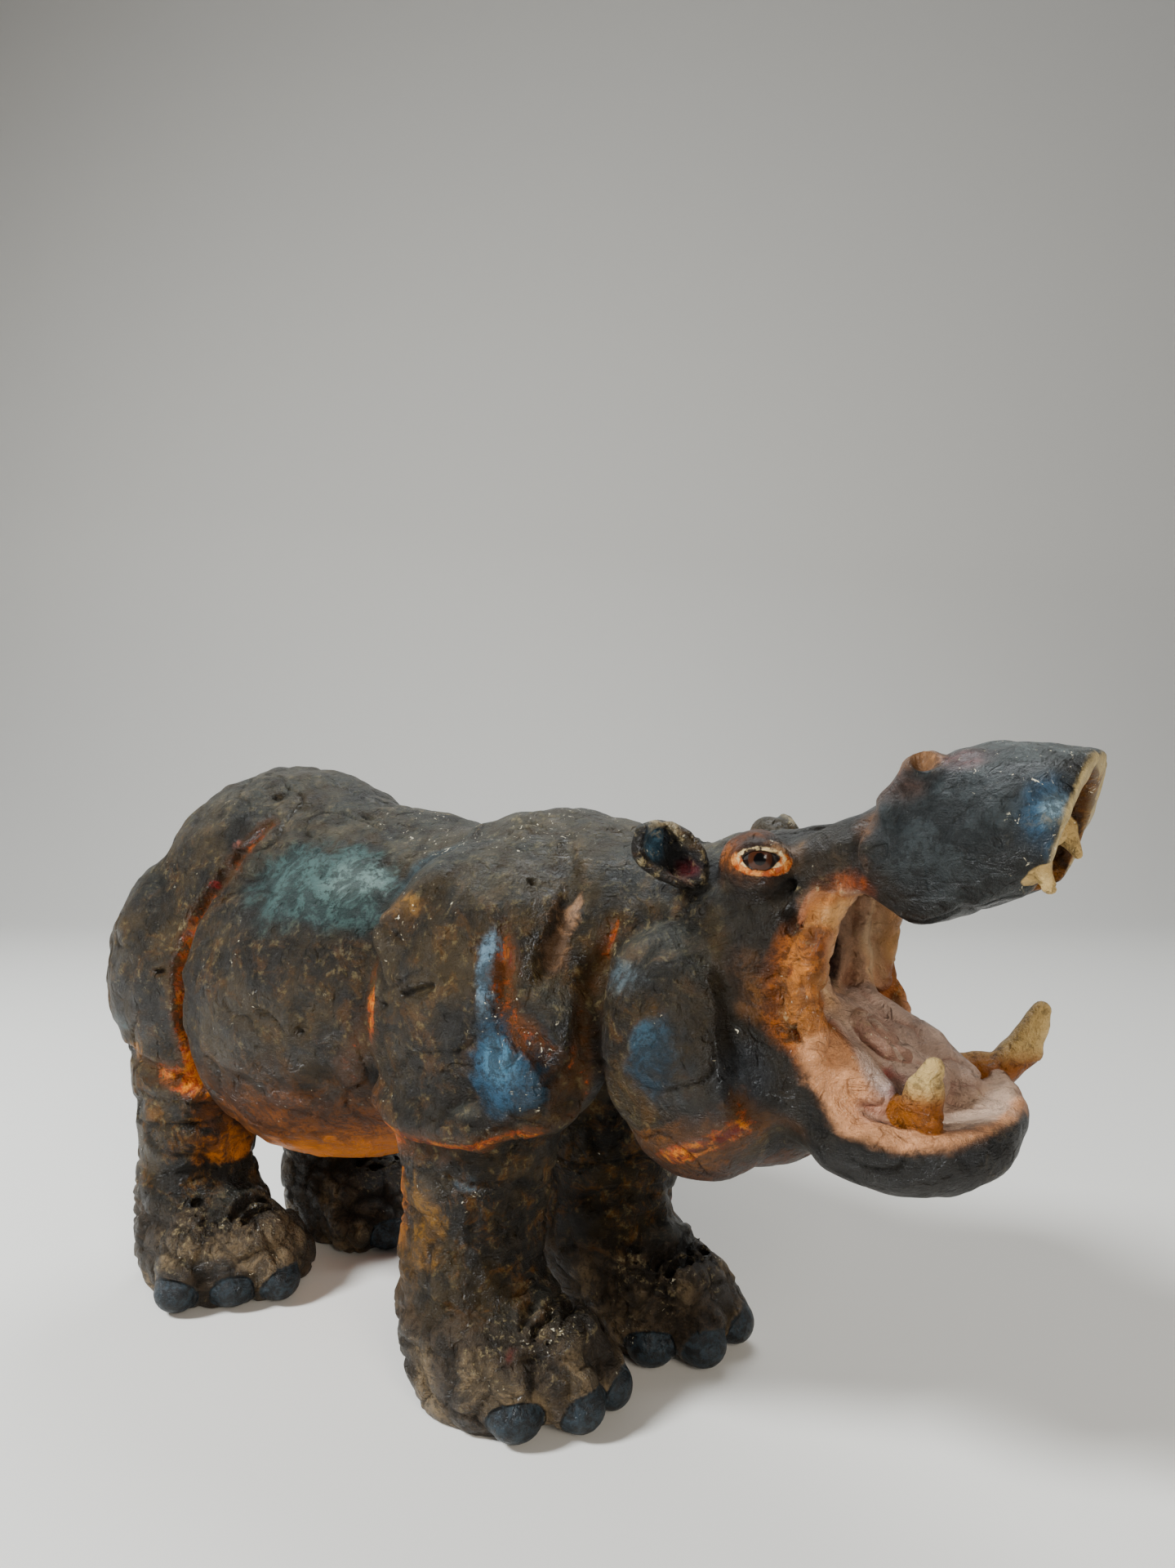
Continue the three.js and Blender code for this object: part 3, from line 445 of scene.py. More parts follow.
# Each fold of the hide: its path along the left flank, its depths and its softness. Paint gives
# the widths of the orange along it, in units, one for each point of the path.
FOLDS = {
    "haunch": {
        "path": ((-23.9, 9.7, 48.4), (-25.8, 13.1, 43.8), (-29, 15, 38.5), (-30.3, 15.5, 34), (-30, 15.2, 29),
                 (-29.8, 13.2, 23.5)),
        "depths": (0.4, 0.7, 0.9, 1.1, 1.3, 1.5), "soft": 0.5, "paint": (0.05, 0.3, 0.4, 0.6, 1.0, 1.9)},
    "flank": {
        "path": ((-0.5, 12.6, 40.8), (-3.2, 14.8, 37.6), (-2.8, 15.6, 34.4), (-4, 16.2, 30.8), (-6, 16.2, 27),
                 (-5.6, 14.6, 22.6)),
        "depths": (0.4, 0.8, 0.9, 1.0, 1.1, 1.2), "soft": 0.5, "paint": (-0.2, 0.3, 0.8, 1.2, 1.5, 1.7)},
    "elbow": {
        "path": ((11.4, 14.6, 41.2), (12.3, 15.2, 38.5), (12.5, 16.2, 36), (13.6, 16.4, 34.2),
                 (16.4, 15.8, 32.2), (17.9, 14.6, 29.6), (17.2, 13.4, 26.4)),
        "depths": (0.4, 0.7, 0.8, 0.8, 0.9, 1.2, 1.2), "soft": 0.4,
        "paint": (0.0, 0.3, 0.35, 0.45, 0.5, 0.6, 0.8)},
    "neck_rear": {
        "path": ((10.5, 5.4, 48.6), (14.2, 9.2, 44.2), (14.6, 12.1, 39.7), (14.6, 13.7, 37)),
        "depths": (0.4, 0.8, 0.8, 0.5), "soft": 0.6, "paint": (0, 0, 0, 0)},
    "neck_front": {
        "path": ((18.4, 9, 41.4), (17.2, 10.8, 37), (18.2, 13, 32.6), (18.2, 13.6, 29.4)),
        "depths": (0.4, 0.9, 1.0, 1.2), "soft": 0.8, "paint": (-0.1, 0.2, 0.4, 1.2)},
    "cuff": {
        "path": ((-4.4, 13.8, 22.8), (2, 16.4, 22.4), (9, 16.4, 22.8), (14, 14.6, 24.2)),
        "depths": (0.6, 0.7, 0.7, 0.6), "soft": 0.5, "paint": (1.0, 0.3, 0.3, 0.7)},
    "hind_knee": {
        "path": ((-44, 13.2, 24.6), (-38, 16.2, 23.8), (-33, 15.6, 22.8), (-30, 13, 21.8)),
        "depths": (0.6, 0.8, 0.8, 0.6), "soft": 0.5, "paint": (-0.3, 0.1, 0.8, 1.3)},
    "cheek": {
        "path": ((28.8, 10.2, 40.6), (28.9, 10.9, 38.3), (30, 11, 36.2), (31.8, 9.8, 35), (33.6, 8.4, 34.6)),
        "depths": (0.4, 0.8, 0.9, 0.8, 0.4), "soft": 0.5, "paint": (-1, -1, -0.8, -0.3, 0.1)},
    "jowl": {
        "path": ((29.6, 11.6, 35.6), (30.5, 12, 32), (30.9, 11.4, 29.2)),
        "depths": (0.5, 0.8, 0.7), "soft": 0.5, "paint": (-1, -0.6, 0.1)},
    # The muzzle's root is a shallow groove without paint.
    "muzzle_root": {
        "path": ((37.6, 5.4, 50.6), (37.4, 6.6, 48.4), (37.2, 7.2, 45.8)),
        "depths": (0.2, 0.2, 0.2), "soft": 0.6, "paint": (0, 0, 0)},
    "eye_bag": {
        "path": ((28.8, 9.4, 44.9), (30.1, 8.9, 43.7), (31.6, 7.9, 43.9), (32.4, 7.0, 45.2)),
        "depths": (0.3, 0.5, 0.5, 0.3), "soft": 0.4, "paint": (0, 0, 0, 0)},
    "ear_front": {
        "path": ((21.7, 7.4, 44.3), (24.9, 10.4, 41.4), (26.9, 11.2, 39.8)),
        "depths": (0.3, 0.6, 0.4), "soft": 0.6, "paint": (0, 0, 0)},
}


def folds(clay):
    for side in SIDES:
        for fold in FOLDS.values():
            clay.limb(mirrored(fold["path"], side), fold["depths"], soft=fold["soft"], cut=True)


NEAR_TUSK = (((41.3, -5.7, 29.9), (41.9, -6.4, 31.6), (42.8, -7.0, 33.5)), (1.45, 1.2, 0.65))
FAR_TUSK = (((40.0, 6.0, 30.2), (42.5, 8.0, 30.0), (44.2, 8.5, 32.0), (45.4, 8.5, 35.0)),
            (1.3, 1.45, 1.35, 0.85))
UPPER_TEETH = (
    (((49.3, -6.2, 47.4), (50.0, -6.5, 45.9)), (0.85, 0.6)),
    (((48.9, -6.0, 47.0), (48.9, -6.3, 46.3)), (0.5, 0.4)),
    (((46.3, 3.2, 50.4), (48.3, 3.3, 48.9), (49.5, 2.8, 47.3)), (1.1, 1.0, 0.6)),
    (((46.6, 1.0, 51.0), (48.5, 1.3, 48.6)), (0.9, 0.75)),
)
TUSK_LOBES = (((40.4, -5.7, 29.8), 1.05), ((42.2, -6.3, 29.7), 0.95))
TONGUE = (
    (((33.4, -1.6, 33.8), (36.8, -1.8, 31.6), (39.4, -0.6, 30.4)), (2.7, 2.4, 1.8)),
    (((33.8, 2.6, 33.8), (38.0, 3.0, 31.6), (41.0, 3.0, 30.3)), (2.6, 2.4, 1.6)),
    (((33.6, -5.2, 33.4), (36.4, -5.6, 31.6), (38.6, -5.6, 30.6)), (2.0, 1.7, 1.2)),
)
SWIRL_CENTRE = (36.9, -2.2, 34.2)
SWIRL_POINTS = 13


def swirl_path():
    """A coil of clay on the tongue, wound a turn and a half."""
    coil = []
    for t in np.linspace(0, 3 * math.pi, SWIRL_POINTS):
        reach = 2.0 - 0.19 * t
        coil.append((SWIRL_CENTRE[0] + reach * math.cos(t), SWIRL_CENTRE[1] - reach * math.sin(t),
                     SWIRL_CENTRE[2] - 0.72 * reach * math.cos(t)))
    return coil


def tongue_tusks_and_teeth(clay):
    for points, radii in TONGUE:
        clay.limb(points, radii, soft=1.2)
    clay.limb(swirl_path(), (0.45,) * SWIRL_POINTS, soft=0.3)
    for tusk in (NEAR_TUSK, FAR_TUSK):
        clay.limb(*tusk, soft=0.4)
    for centre, radius in TUSK_LOBES:
        clay.egg(centre, (radius,) * 3, soft=0.3)
    for points, radii in UPPER_TEETH:
        clay.limb(points, radii, soft=0.3)


def model_hippo():
    clay = Clay()
    for form in (trunk, legs, head_mass, lower_jaw, muzzle, ears_and_lips, hollows, folds,
                 tongue_tusks_and_teeth):
        form(clay)
    clay.floor(0, 0.6)
    return clay


# From clay to mesh


def read_surface(clay):
    """One point in each grid cell that the surface crosses, and a quad round each crossed edge."""
    values = clay.values
    inside = values < 0
    shape = np.array(values.shape) - 1
    corners = [(i, j, k) for i in (0, 1) for j in (0, 1) for k in (0, 1)]

    def at_corner(grid, corner):
        return grid[tuple(slice(c, c + n) for c, n in zip(corner, shape))]

    count = sum(at_corner(inside, corner).astype(np.int8) for corner in corners)
    cells = np.argwhere((count > 0) & (count < 8))
    number = np.full(shape, -1, np.int32)
    number[tuple(cells.T)] = np.arange(len(cells))
    total = np.zeros((len(cells), 3))
    crossings = np.zeros(len(cells))
    for corner in corners:
        for axis in range(3):
            if corner[axis]:
                continue
            end = list(corner)
            end[axis] = 1
            first = values[tuple((cells + corner).T)]
            last = values[tuple((cells + end).T)]
            crossed = (first < 0) != (last < 0)
            share = first[crossed] / (first[crossed] - last[crossed])
            ends = cells[crossed] + np.array(corner)
            spot = np.stack([clay.lines[n][ends[:, n]] for n in range(3)], axis=1).astype(float)
            length = clay.lines[axis][ends[:, axis] + 1] - clay.lines[axis][ends[:, axis]]
            spot[:, axis] += share * length
            total[crossed] += spot
            crossings[crossed] += 1
    points = total / crossings[:, None]

    quads = []
    for axis in range(3):
        one, two = (axis + 1) % 3, (axis + 2) % 3
        ahead = [slice(None)] * 3
        behind = [slice(None)] * 3
        ahead[axis], behind[axis] = slice(1, None), slice(None, -1)
        starts = np.argwhere(inside[tuple(behind)] != inside[tuple(ahead)])
        ring = []
        for step_one, step_two in ((0, 0), (1, 0), (1, 1), (0, 1)):
            cell = starts.copy()
            cell[:, one] -= step_one
            cell[:, two] -= step_two
            ring.append(number[tuple(cell.T)])
        ring = np.stack(ring, axis=1)
        outward = inside[tuple(starts.T)]
        ring[~outward] = ring[~outward][:, ::-1]
        quads.append(ring)
    return points, np.concatenate(quads)


def relax(clay, points, quads, rounds=3):
    """Evens the points out and puts them back onto the clay's surface."""
    edges = np.concatenate([quads[:, [n, (n + 1) % 4]] for n in range(4)])
    degree = np.bincount(edges[:, 0], minlength=len(points))[:, None]
    for _ in range(rounds):
        mean = np.zeros_like(points)
        for axis in range(3):
            pull = points[edges[:, 1], axis]
            mean[:, axis] = np.bincount(edges[:, 0], weights=pull, minlength=len(points))
        points = 0.5 * points + 0.5 * mean / degree
        points = points - clay.normals(points) * clay.sample(points)[:, None]
    return points


def lattice(cells, seed):
    """A repeatable random number from 0 to 1 for each whole-numbered cell."""
    mixed = cells[:, 0] * 374761393 + cells[:, 1] * 668265263 + cells[:, 2] * 2147483647 + seed * 144665
    mixed = (mixed ^ (mixed >> 13)) * 1274126177
    return ((mixed ^ (mixed >> 16)) & 0xFFFFFF) / 0xFFFFFF


def lumps(points, size, seed):
    """Smooth random relief from -1 to 1, with lumps of about the given size."""
    spot = points / size
    base = np.floor(spot).astype(np.int64)
    rest = spot - base
    rest = rest * rest * (3 - 2 * rest)
    return 2 * blend_corners(rest, lambda bits: lattice(base + bits, seed)) - 1


def smooth_step(low, high, value):
    share = np.clip((value - low) / (high - low), 0, 1)
    return share * share * (3 - 2 * share)


def columns(points):
    return points[:, 0], points[:, 1], points[:, 2]


def cracks(points, size, width, seed, stretch=(1, 1, 1)):
    """1 along a random net of thin lines, 0 between them."""
    return np.clip(1 - np.abs(lumps(points * stretch, size, seed)) / width, 0, 1) ** 1.5


def pellets(points, size, seed):
    """Random pressed pellets of clay: how far from the nearest middle, and from the nearest gap."""
    spot = points / size
    base = np.floor(spot).astype(np.int64)
    nearest = np.full(len(points), 9.0)
    second = np.full(len(points), 9.0)
    for shift in np.ndindex(3, 3, 3):
        cell = base + np.array(shift) - 1
        middle = cell + np.stack([lattice(cell, seed + n) for n in range(3)], axis=1)
        gap = np.linalg.norm(spot - middle, axis=1)
        second = np.minimum(second, np.maximum(nearest, gap))
        nearest = np.minimum(nearest, gap)
    return nearest, second - nearest


NICK_COUNT = 170
NICK_SEED = 11


def nicks(points):
    """Short strokes of a modelling tool across the back and flanks."""
    random = np.random.default_rng(NICK_SEED)
    depth = np.zeros(len(points))
    for _ in range(NICK_COUNT):
        middle = np.array([random.uniform(-34, 18), random.choice(SIDES) * random.uniform(4, 17),
                           random.uniform(28, 52)])
        along = np.array([random.uniform(0.4, 1.8), random.uniform(-0.3, 0.3), random.uniform(-0.6, 0.6)])
        near = np.abs(points[:, 0] - middle[0]) < 3.5
        gap = limb_distance(columns(points[near]), (middle - along, middle + along), (0, 0))
        depth[near] = np.maximum(depth[near], 1 - smooth_step(0.1, 0.5, gap))
    return depth


def foot_share(points):
    """1 on the feet, 0 above the ankles."""
    return 1 - smooth_step(7, 15, points[:, 2])


def leg_share(points):
    """1 on the legs, 0 on the belly and everything above them."""
    x, _, z = columns(points)
    belly = smooth_step(-31, -29, x) * (1 - smooth_step(-7, -4, x))
    return (1 - smooth_step(19, 25, z)) * (1 - belly)


def lip_share(points):
    """1 on the knobbly skin round the mouth, 0 away from it."""
    share = np.zeros(len(points))
    for side in SIDES:
        share = np.maximum(share, near_path(points, mirrored(LIP[1:], side), 3.2))
    return share


def rough_share(points):
    """1 where the clay was pressed on in small pellets, 0 where it was smoothed."""
    return np.maximum(0.75 * foot_share(points), 0.6 * lip_share(points))


PELLET_SIZE = 3.3
PELLET_SEED = 51
PELLET_LEAST_ROUGH = 0.02


def pressed_pellets(points, rough):
    """Which points lie on pressed pellets of clay, and how far each is from a middle and a gap."""
    pressed = rough > PELLET_LEAST_ROUGH
    return pressed, *pellets(points[pressed] * (1, 1, 1.15), PELLET_SIZE, PELLET_SEED)


def wrinkles(points):
    """How deep the small cracks of the hide are at each point, from 0 to 1."""
    patchy = smooth_step(-0.3, 0.3, lumps(points, 8.0, 31))
    hide = cracks(points, 3.6, 0.09, 32, (1, 1, 0.75)) * patchy
    rings = cracks(points, 4.6, 0.16, 33, (0.7, 0.7, 1.7)) * leg_share(points)
    inside = mouth_flesh(points) * cracks(points, 2.4, 0.14, 34, (0.7, 1.3, 1.0))
    depth = np.max([0.8 * hide, rings, 0.7 * inside], axis=0)
    rough = rough_share(points)
    pressed, _, gap = pressed_pellets(points, rough)
    between = 0.8 * rough[pressed] * (1 - smooth_step(0.0, 0.16, gap))
    depth[pressed] = np.maximum(depth[pressed] * (1 - rough[pressed]), between)
    return depth


def tool_marks(points):
    """Long shallow strokes of a modelling tool that follow the flanks."""
    along = points * (0.3, 1.0, 0.8) + 0.9 * lumps(points, 7.0, 61)[:, None]
    return lumps(along, 1.5, 62)


# The unevenness that fingers leave: height, size of the lumps and seed.
FINGER_LUMPS = ((0.26, 5.0, 1), (0.22, 2.4, 2), (0.11, 1.2, 3))


def hand_relief(clay, points):
    """The clay's surface, pushed in and out as fingers and tools leave it."""
    relief = sum(height * lumps(points, size, seed) for height, size, seed in FINGER_LUMPS)
    relief += 0.15 * tool_marks(points)
    rough = rough_share(points)
    pressed, nearest, _ = pressed_pellets(points, rough)
    relief[pressed] += rough[pressed] * (0.3 - 0.66 * nearest ** 2)
    relief += rough * 0.14 * lumps(points, 1.3, 5) + 0.3 * foot_share(points) * lumps(points, 2.6, 6)
    relief -= 0.34 * leg_share(points) * cracks(points, 3.4, 0.2, 71, (0.8, 0.8, 1.5))
    relief -= 0.42 * wrinkles(points)
    relief -= 0.5 * nicks(points)
    relief *= smooth_step(0.1, 0.8, nail_distance(points))
    for side in SIDES:
        gap = np.linalg.norm(points - on_side(EYE, side), axis=1)
        relief *= smooth_step(1.6, 3.2, gap)
    above_floor = smooth_step(0.0, 0.5, points[:, 2])
    return points + clay.normals(points) * (relief * above_floor)[:, None]


def make_mesh(clay):
    points, quads = read_surface(clay)
    points = relax(clay, points, quads)
    points = hand_relief(clay, points)
    mesh = bpy.data.meshes.new(NODE)
    mesh.vertices.add(len(points))
    mesh.vertices.foreach_set("co", to_metres(points).astype(np.float32).ravel())
    mesh.loops.add(quads.size)
    mesh.loops.foreach_set("vertex_index", quads.astype(np.int32).ravel())
    mesh.polygons.add(len(quads))
    mesh.polygons.foreach_set("loop_start", np.arange(0, quads.size, 4, dtype=np.int32))
    mesh.update(calc_edges=True)
    return mesh


def thin_out(piece, triangles):
    """Merges the faces that matter least, down to the number of triangles."""
    decimate = piece.modifiers.new("Thin", "DECIMATE")
    decimate.ratio = min(1.0, triangles / (2 * len(piece.data.polygons)))
    depsgraph = bpy.context.evaluated_depsgraph_get()
    thinned = bpy.data.meshes.new_from_object(piece.evaluated_get(depsgraph))
    piece.modifiers.clear()
    piece.data = thinned
    thinned.shade_smooth()


# Paint: a colour and a cover at each point of the mesh, and distances that the material reads.


def srgb(code):
    """A colour written as six hex digits, as linear light."""
    channels = [int(code[n:n + 2], 16) / 255 for n in (0, 2, 4)]
    return tuple(c / 12.92 if c <= 0.04045 else ((c + 0.055) / 1.055) ** 2.4 for c in channels)


def near_path(points, path, radius):
    """1 on a path, falling to 0 at the given distance from it."""
    gap = limb_distance(columns(points), path, [0.0] * len(path))
    return 1 - smooth_step(0.25 * radius, radius, gap)


def near_egg(points, centre, radii, turn=(0, 0, 0), fade=1.0):
    """1 inside an egg, falling to 0 at the given distance outside it."""
    return 1 - smooth_step(0, fade, egg_distance(columns(points), centre, radii, turn))


class Paint:
    """Layers of paint, each with a ragged edge, laid over one another."""

    def __init__(self, points):
        self.points = points
        self.colour = np.zeros((len(points), 3))
        self.cover = np.zeros(len(points))
        self.grain = 0.6 * lumps(points, 2.4, 41) + 0.5 * lumps(points, 1.0, 42)

    def lay(self, mask, code, strength=1.0):
        ragged = np.clip(mask + 2.4 * self.grain * mask * (1 - mask), 0, 1)
        over = strength * ragged
        total = over + self.cover * (1 - over)
        kept = (self.cover * (1 - over))[:, None] * self.colour
        self.colour = (over[:, None] * np.array(srgb(code)) + kept) / np.maximum(total, 1e-6)[:, None]
        self.cover = total

    def patch(self, code, centre, radii, strength=1.0, side=-1):
        """A soft-edged patch in the shape of an egg."""
        middle = on_side(centre, side)
        level = np.sqrt(sum(((self.points[:, n] - middle[n]) / radii[n]) ** 2 for n in range(3)))
        self.lay(1 - smooth_step(0.35, 1.2, level), code, strength)

    def stroke(self, code, path, widths, strength=1.0, fade=0.8):
        """A stroke along a path, with its half width at each point of it."""
        gap = limb_distance(columns(self.points), path, widths)
        self.lay(1 - smooth_step(-0.2, fade, gap), code, strength)

    def patches(self, rows, side):
        for code, centre, radii, strength in rows:
            self.patch(code, centre, radii, strength, side)

    def strokes(self, rows, side=1):
        for code, path, widths, strength, fade in rows:
            self.stroke(code, mirrored(path, side), widths, strength, fade)


# Patches of paint: colour, middle and radii on the left flank, and how thick they lie. The teal, blue
# and blue-grey ones are blue paint with painted sheen of a cool window in them, and the palest are painted
# highlights.
PATCHES = (
    ("2c403e", (-13.5, 11.5, 42.0), (12.5, 6.0, 7.0), 0.75),
    ("465e5a", (-13.0, 11.0, 42.6), (8.6, 4.6, 4.6), 0.7),
    # The palest teal is a painted highlight.
    ("7c928c", (-9.0, 11.0, 43.6), (4.2, 4.0, 2.0), 0.5),
    ("34444a", (-1.0, 9.0, 44.6), (5.4, 5.0, 4.2), 0.6),
    ("0e1c26", (13.2, 16.4, 30.8), (5.0, 4.4, 5.4), 0.8),
    ("20465e", (12.6, 16.6, 30.6), (4.2, 3.4, 3.8), 0.9),
    ("4c7890", (12.6, 16.8, 31.2), (2.6, 2.8, 2.0), 0.7),
    # A pale blue painted highlight on the shoulder's ridge.
    ("5c7484", (10.9, 15.8, 38.4), (1.3, 2.2, 4.2), 0.75),
    ("503410", (0.8, 14.6, 41.6), (3.4, 3.0, 3.0), 0.7),
    ("8c6426", (1.6, 14.6, 42.4), (1.6, 2.0, 1.4), 0.7),
    ("7c5a3c", (14.6, 12.0, 42.8), (1.5, 3.4, 6.0), 0.9),
    ("a88468", (14.8, 12.0, 43.6), (0.7, 3.0, 4.0), 0.8),
    ("142834", (25.0, 14.2, 32.6), (3.4, 3.0, 4.2), 0.65),
    ("2c4654", (24.4, 14.2, 34.0), (1.8, 3.0, 2.2), 0.55),
    ("46555c", (21.0, 13.0, 38.0), (4.0, 3.4, 2.0), 0.45),
    ("16283a", (31.0, 11.6, 31.4), (2.2, 2.6, 3.0), 0.5),
    ("8c5408", (31.4, 9.0, 37.0), (2.2, 2.8, 2.0), 0.9),
    ("6c400c", (30.0, 9.8, 39.4), (1.6, 2.4, 1.6), 0.6),
    ("3c525e", (8.6, 16.0, 20.0), (3.4, 2.6, 2.2), 0.8),
    ("c4d4dc", (9.4, 16.0, 20.9), (2.0, 2.0, 0.5), 0.7),
    ("6c7c84", (9.6, 15.0, 15.2), (3.0, 2.6, 0.8), 0.7),
    ("b0bcc0", (10.4, 15.0, 13.2), (1.8, 2.6, 0.5), 0.6),
    ("6e4a0c", (3.0, 15.6, 16.0), (3.6, 3.0, 5.0), 0.75),
    ("5c3e0c", (-1.0, 15.0, 11.0), (3.0, 4.0, 6.0), 0.7),
    ("2f484c", (-40.0, 17.0, 27.6), (2.8, 3.0, 1.6), 0.5),
    ("8c580a", (-38.4, 16.6, 24.6), (3.6, 3.0, 1.4), 0.75),
    ("9c1420", (8.8, 13.6, 11.4), (1.1, 2.0, 0.5), 0.9),
    ("841420", (10.6, 13.6, 7.0), (0.35, 1.6, 0.9), 0.8),
    ("a86450", (-26.2, 12.4, 46.4), (0.8, 2.0, 0.8), 0.7),
    ("9c1c20", (-27.4, 14.0, 42.2), (0.7, 1.6, 0.6), 0.85),
)


# The belly's brown, amber and gold: orange paint with a painted glow of warm light bounced up from below,
# brightest at the bottom; where each begins and ends over the slant of the belly.
BELLY_PAINT_AND_GLOW = (("3c2402", 20.0, 31.0, 0.85), ("844400", 17.5, 25.5, 0.9), ("d47600", 15.5, 20.5, 0.9))
NECK_LINE = ((14.0, 12.4, 44.4), (14.4, 13.4, 40.6), (14.2, 14.2, 37.6))


def paint_body(paint):
    x, _, z = columns(paint.points)
    between_legs = smooth_step(-33, -28, x) * (1 - smooth_step(-4, 1, x)) * smooth_step(12.5, 13.5, z)
    height = z - 0.12 * (x + 20)
    # Orange paint, lighter towards the bottom as painted glow of light bounced up from below.
    for code, low, high, strength in BELLY_PAINT_AND_GLOW:
        paint.lay((1 - smooth_step(low, high, height)) * between_legs, code, strength)
    for side in SIDES:
        paint.patches(PATCHES, side)
        paint.stroke("6a3e08", mirrored(THROAT_SEAM, side), (1.2, 2.0, 2.0, 1.6, 0.8), 0.9, fade=1.0)
        paint.stroke("84120a", mirrored(NECK_LINE, side), (0, 0, 0), 0.8, fade=0.4)


# Seams that aren't folds: under the cuff, behind the elbow and round the throat.
CUFF_SEAM = ((-3.4, 14.6, 23.8), (3, 16.6, 23.4), (9, 16.6, 23.6), (14.6, 14.6, 25.4))
ELBOW_WEDGE = ((18.0, 14.0, 31.2), (17.8, 13.6, 25.6))
THROAT_SEAM = ((20, 12.0, 24.6), (24, 12.8, 24.6), (28, 12.8, 26.4), (30.6, 11.6, 28.2), (33, 9.2, 27.8))


def painted_seams():
    """Each seam that holds orange paint: its path on either flank and the paint's half widths."""
    lines = [(fold["path"], fold["paint"]) for fold in FOLDS.values() if max(fold["paint"]) > 0]
    lines += [(CUFF_SEAM, (0.3, 0.2, 0.3, 0.4)), (ELBOW_WEDGE, (0.0, 0.9)),
              (THROAT_SEAM, (-0.1, 0.6, 0.5, 0.4, 0.1))]
    return [(mirrored(path, side), widths) for path, widths in lines for side in SIDES]


def seam_distances(points):
    """How far each point lies outside the nearest seam's paint, and how far from its middle."""
    outside = np.full(len(points), EMPTY)
    middle = np.full(len(points), EMPTY)
    for path, widths in painted_seams():
        thin = [min(width, 0) for width in widths]
        outside = np.minimum(outside, limb_distance(columns(points), path, widths))
        middle = np.minimum(middle, limb_distance(columns(points), path, thin))
    return outside, middle


def paint_feet(paint):
    z = paint.points[:, 2]
    paint.lay(1 - smooth_step(6.5, 13.0, z), "3c3022", 0.7)
    dusty = smooth_step(0.0, 0.5, lumps(paint.points, 3.0, 43))
    paint.lay((1 - smooth_step(5.0, 9.0, z)) * dusty, "7c684c", 0.7)
    for foot in FEET.values():
        tips = foot["toes"]
        for first, second in zip(tips[:-1], tips[1:]):
            paint.stroke("7c3c30", cleft_path(foot["pad"], first, second)[:2], (0.2, 0.0), 0.8, fade=0.4)
        for tip in tips:
            nail = nail_place(foot["pad"], tip)[0]
            ahead = unit(np.array([nail[0] - foot["pad"][0], nail[1] - foot["pad"][1], 0.0]))
            across = np.array([-ahead[1], ahead[0], 0.0])
            root = np.array(nail) - 0.7 * ahead
            turns = np.linspace(0.2, 2.94, 6)
            cuticle = [root + 2.0 * math.cos(t) * across + (0, 0, 2.0 * math.sin(t)) for t in turns]
            paint.stroke("907448", cuticle, (0.1,) * 6, 0.8, fade=0.4)


# Paint round the eye and on the side of the muzzle, in the same columns as the other patches.
EYE_PATCHES = (
    ("3c2008", (29.6, EYE[1], 46.6), (3.1, 2.8, 2.8), 0.85),
    ("8c4c18", (28.3, EYE[1] + 0.6, 47.2), (1.3, 2.0, 1.5), 0.85),
    ("6c3a10", (30.2, EYE[1], 49.2), (2.2, 2.4, 0.8), 0.7),
    ("a88058", (32.4, EYE[1], 47.6), (1.2, 2.0, 1.8), 0.8),
    ("1e1810", (30.4, EYE[1] + 1.2, 44.5), (2.3, 1.8, 0.7), 0.9),
)
MUZZLE_PATCHES = (
    # Blue paint on the side of the muzzle with painted sheen of a cool window, and a pale blue painted
    # highlight.
    ("24506e", (50.2, 7.0, 50.2), (1.9, 2.4, 2.8), 0.85),
    ("94b0bc", (50.6, 7.0, 50.6), (1.0, 2.0, 1.5), 0.85),
    ("5c3010", (40.6, 4.9, 52.4), (3.0, 2.8, 3.0), 0.85),
    ("b88458", (41.4, 5.4, 53.8), (1.7, 1.8, 1.6), 0.85),
    ("7c4440", (44.4, 5.4, 54.0), (1.8, 1.8, 1.2), 0.5),
    ("6c4624", (38.2, 5.4, 48.6), (1.6, 2.4, 3.4), 0.8),
    ("b87c50", (38.2, 5.6, 47.4), (0.8, 2.4, 2.4), 0.7),
    ("8c3c04", (36.6, 5.8, 45.3), (2.8, 2.6, 1.1), 0.95),
    ("443420", (34.6, 6.0, 46.6), (3.0, 3.0, 2.0), 0.5),
)


def paint_ear(paint, side):
    """A black hollow with blue above and red below, and a pale rim."""
    face = unit(on_side(EAR_FACE, side))
    long = unit(on_side(EAR_LONG, side))
    middle = on_side(EAR, side)
    inside = near_path(paint.points, (middle - 1.4 * long, middle + 1.5 * long), 2.3)
    inside *= smooth_step(-0.9, -0.2, (paint.points - middle) @ face) * (np.abs(paint.points[:, 1]) > 6)
    paint.lay(inside, "0b0a0d", 0.95)
    # Blue paint in the top of the hollow, with painted sheen of a cool window in it.
    paint.patch("44687e", np.abs(middle - 1.7 * long + 0.1 * face), (0.9, 1.2, 1.7), 0.8, side)
    paint.patch("54141a", np.abs(middle + 1.7 * long), (1.2, 1.2, 0.9), 0.8, side)
    rim = ear_ring(side, 1.02)
    paint.stroke("c4b088", rim[:8], (0.25,) * 8, 0.85, fade=0.3)
    paint.stroke("947060", rim[7:], (0.2,) * 6, 0.75, fade=0.3)


def mouth_flesh(points):
    """1 inside the mouth, 0 on the hide."""
    x, _, z = columns(points)
    box = slab_distance(columns(points), *MOUTH, (0, 0, 0), MOUTH_ROUNDING)
    flesh = np.maximum(1 - smooth_step(0.2, 0.8, box), near_egg(points, *JAW_FLOOR, fade=0.8))
    return flesh * ((x > 31) & (x < 48) & (z < 46.5) & (z > 27))


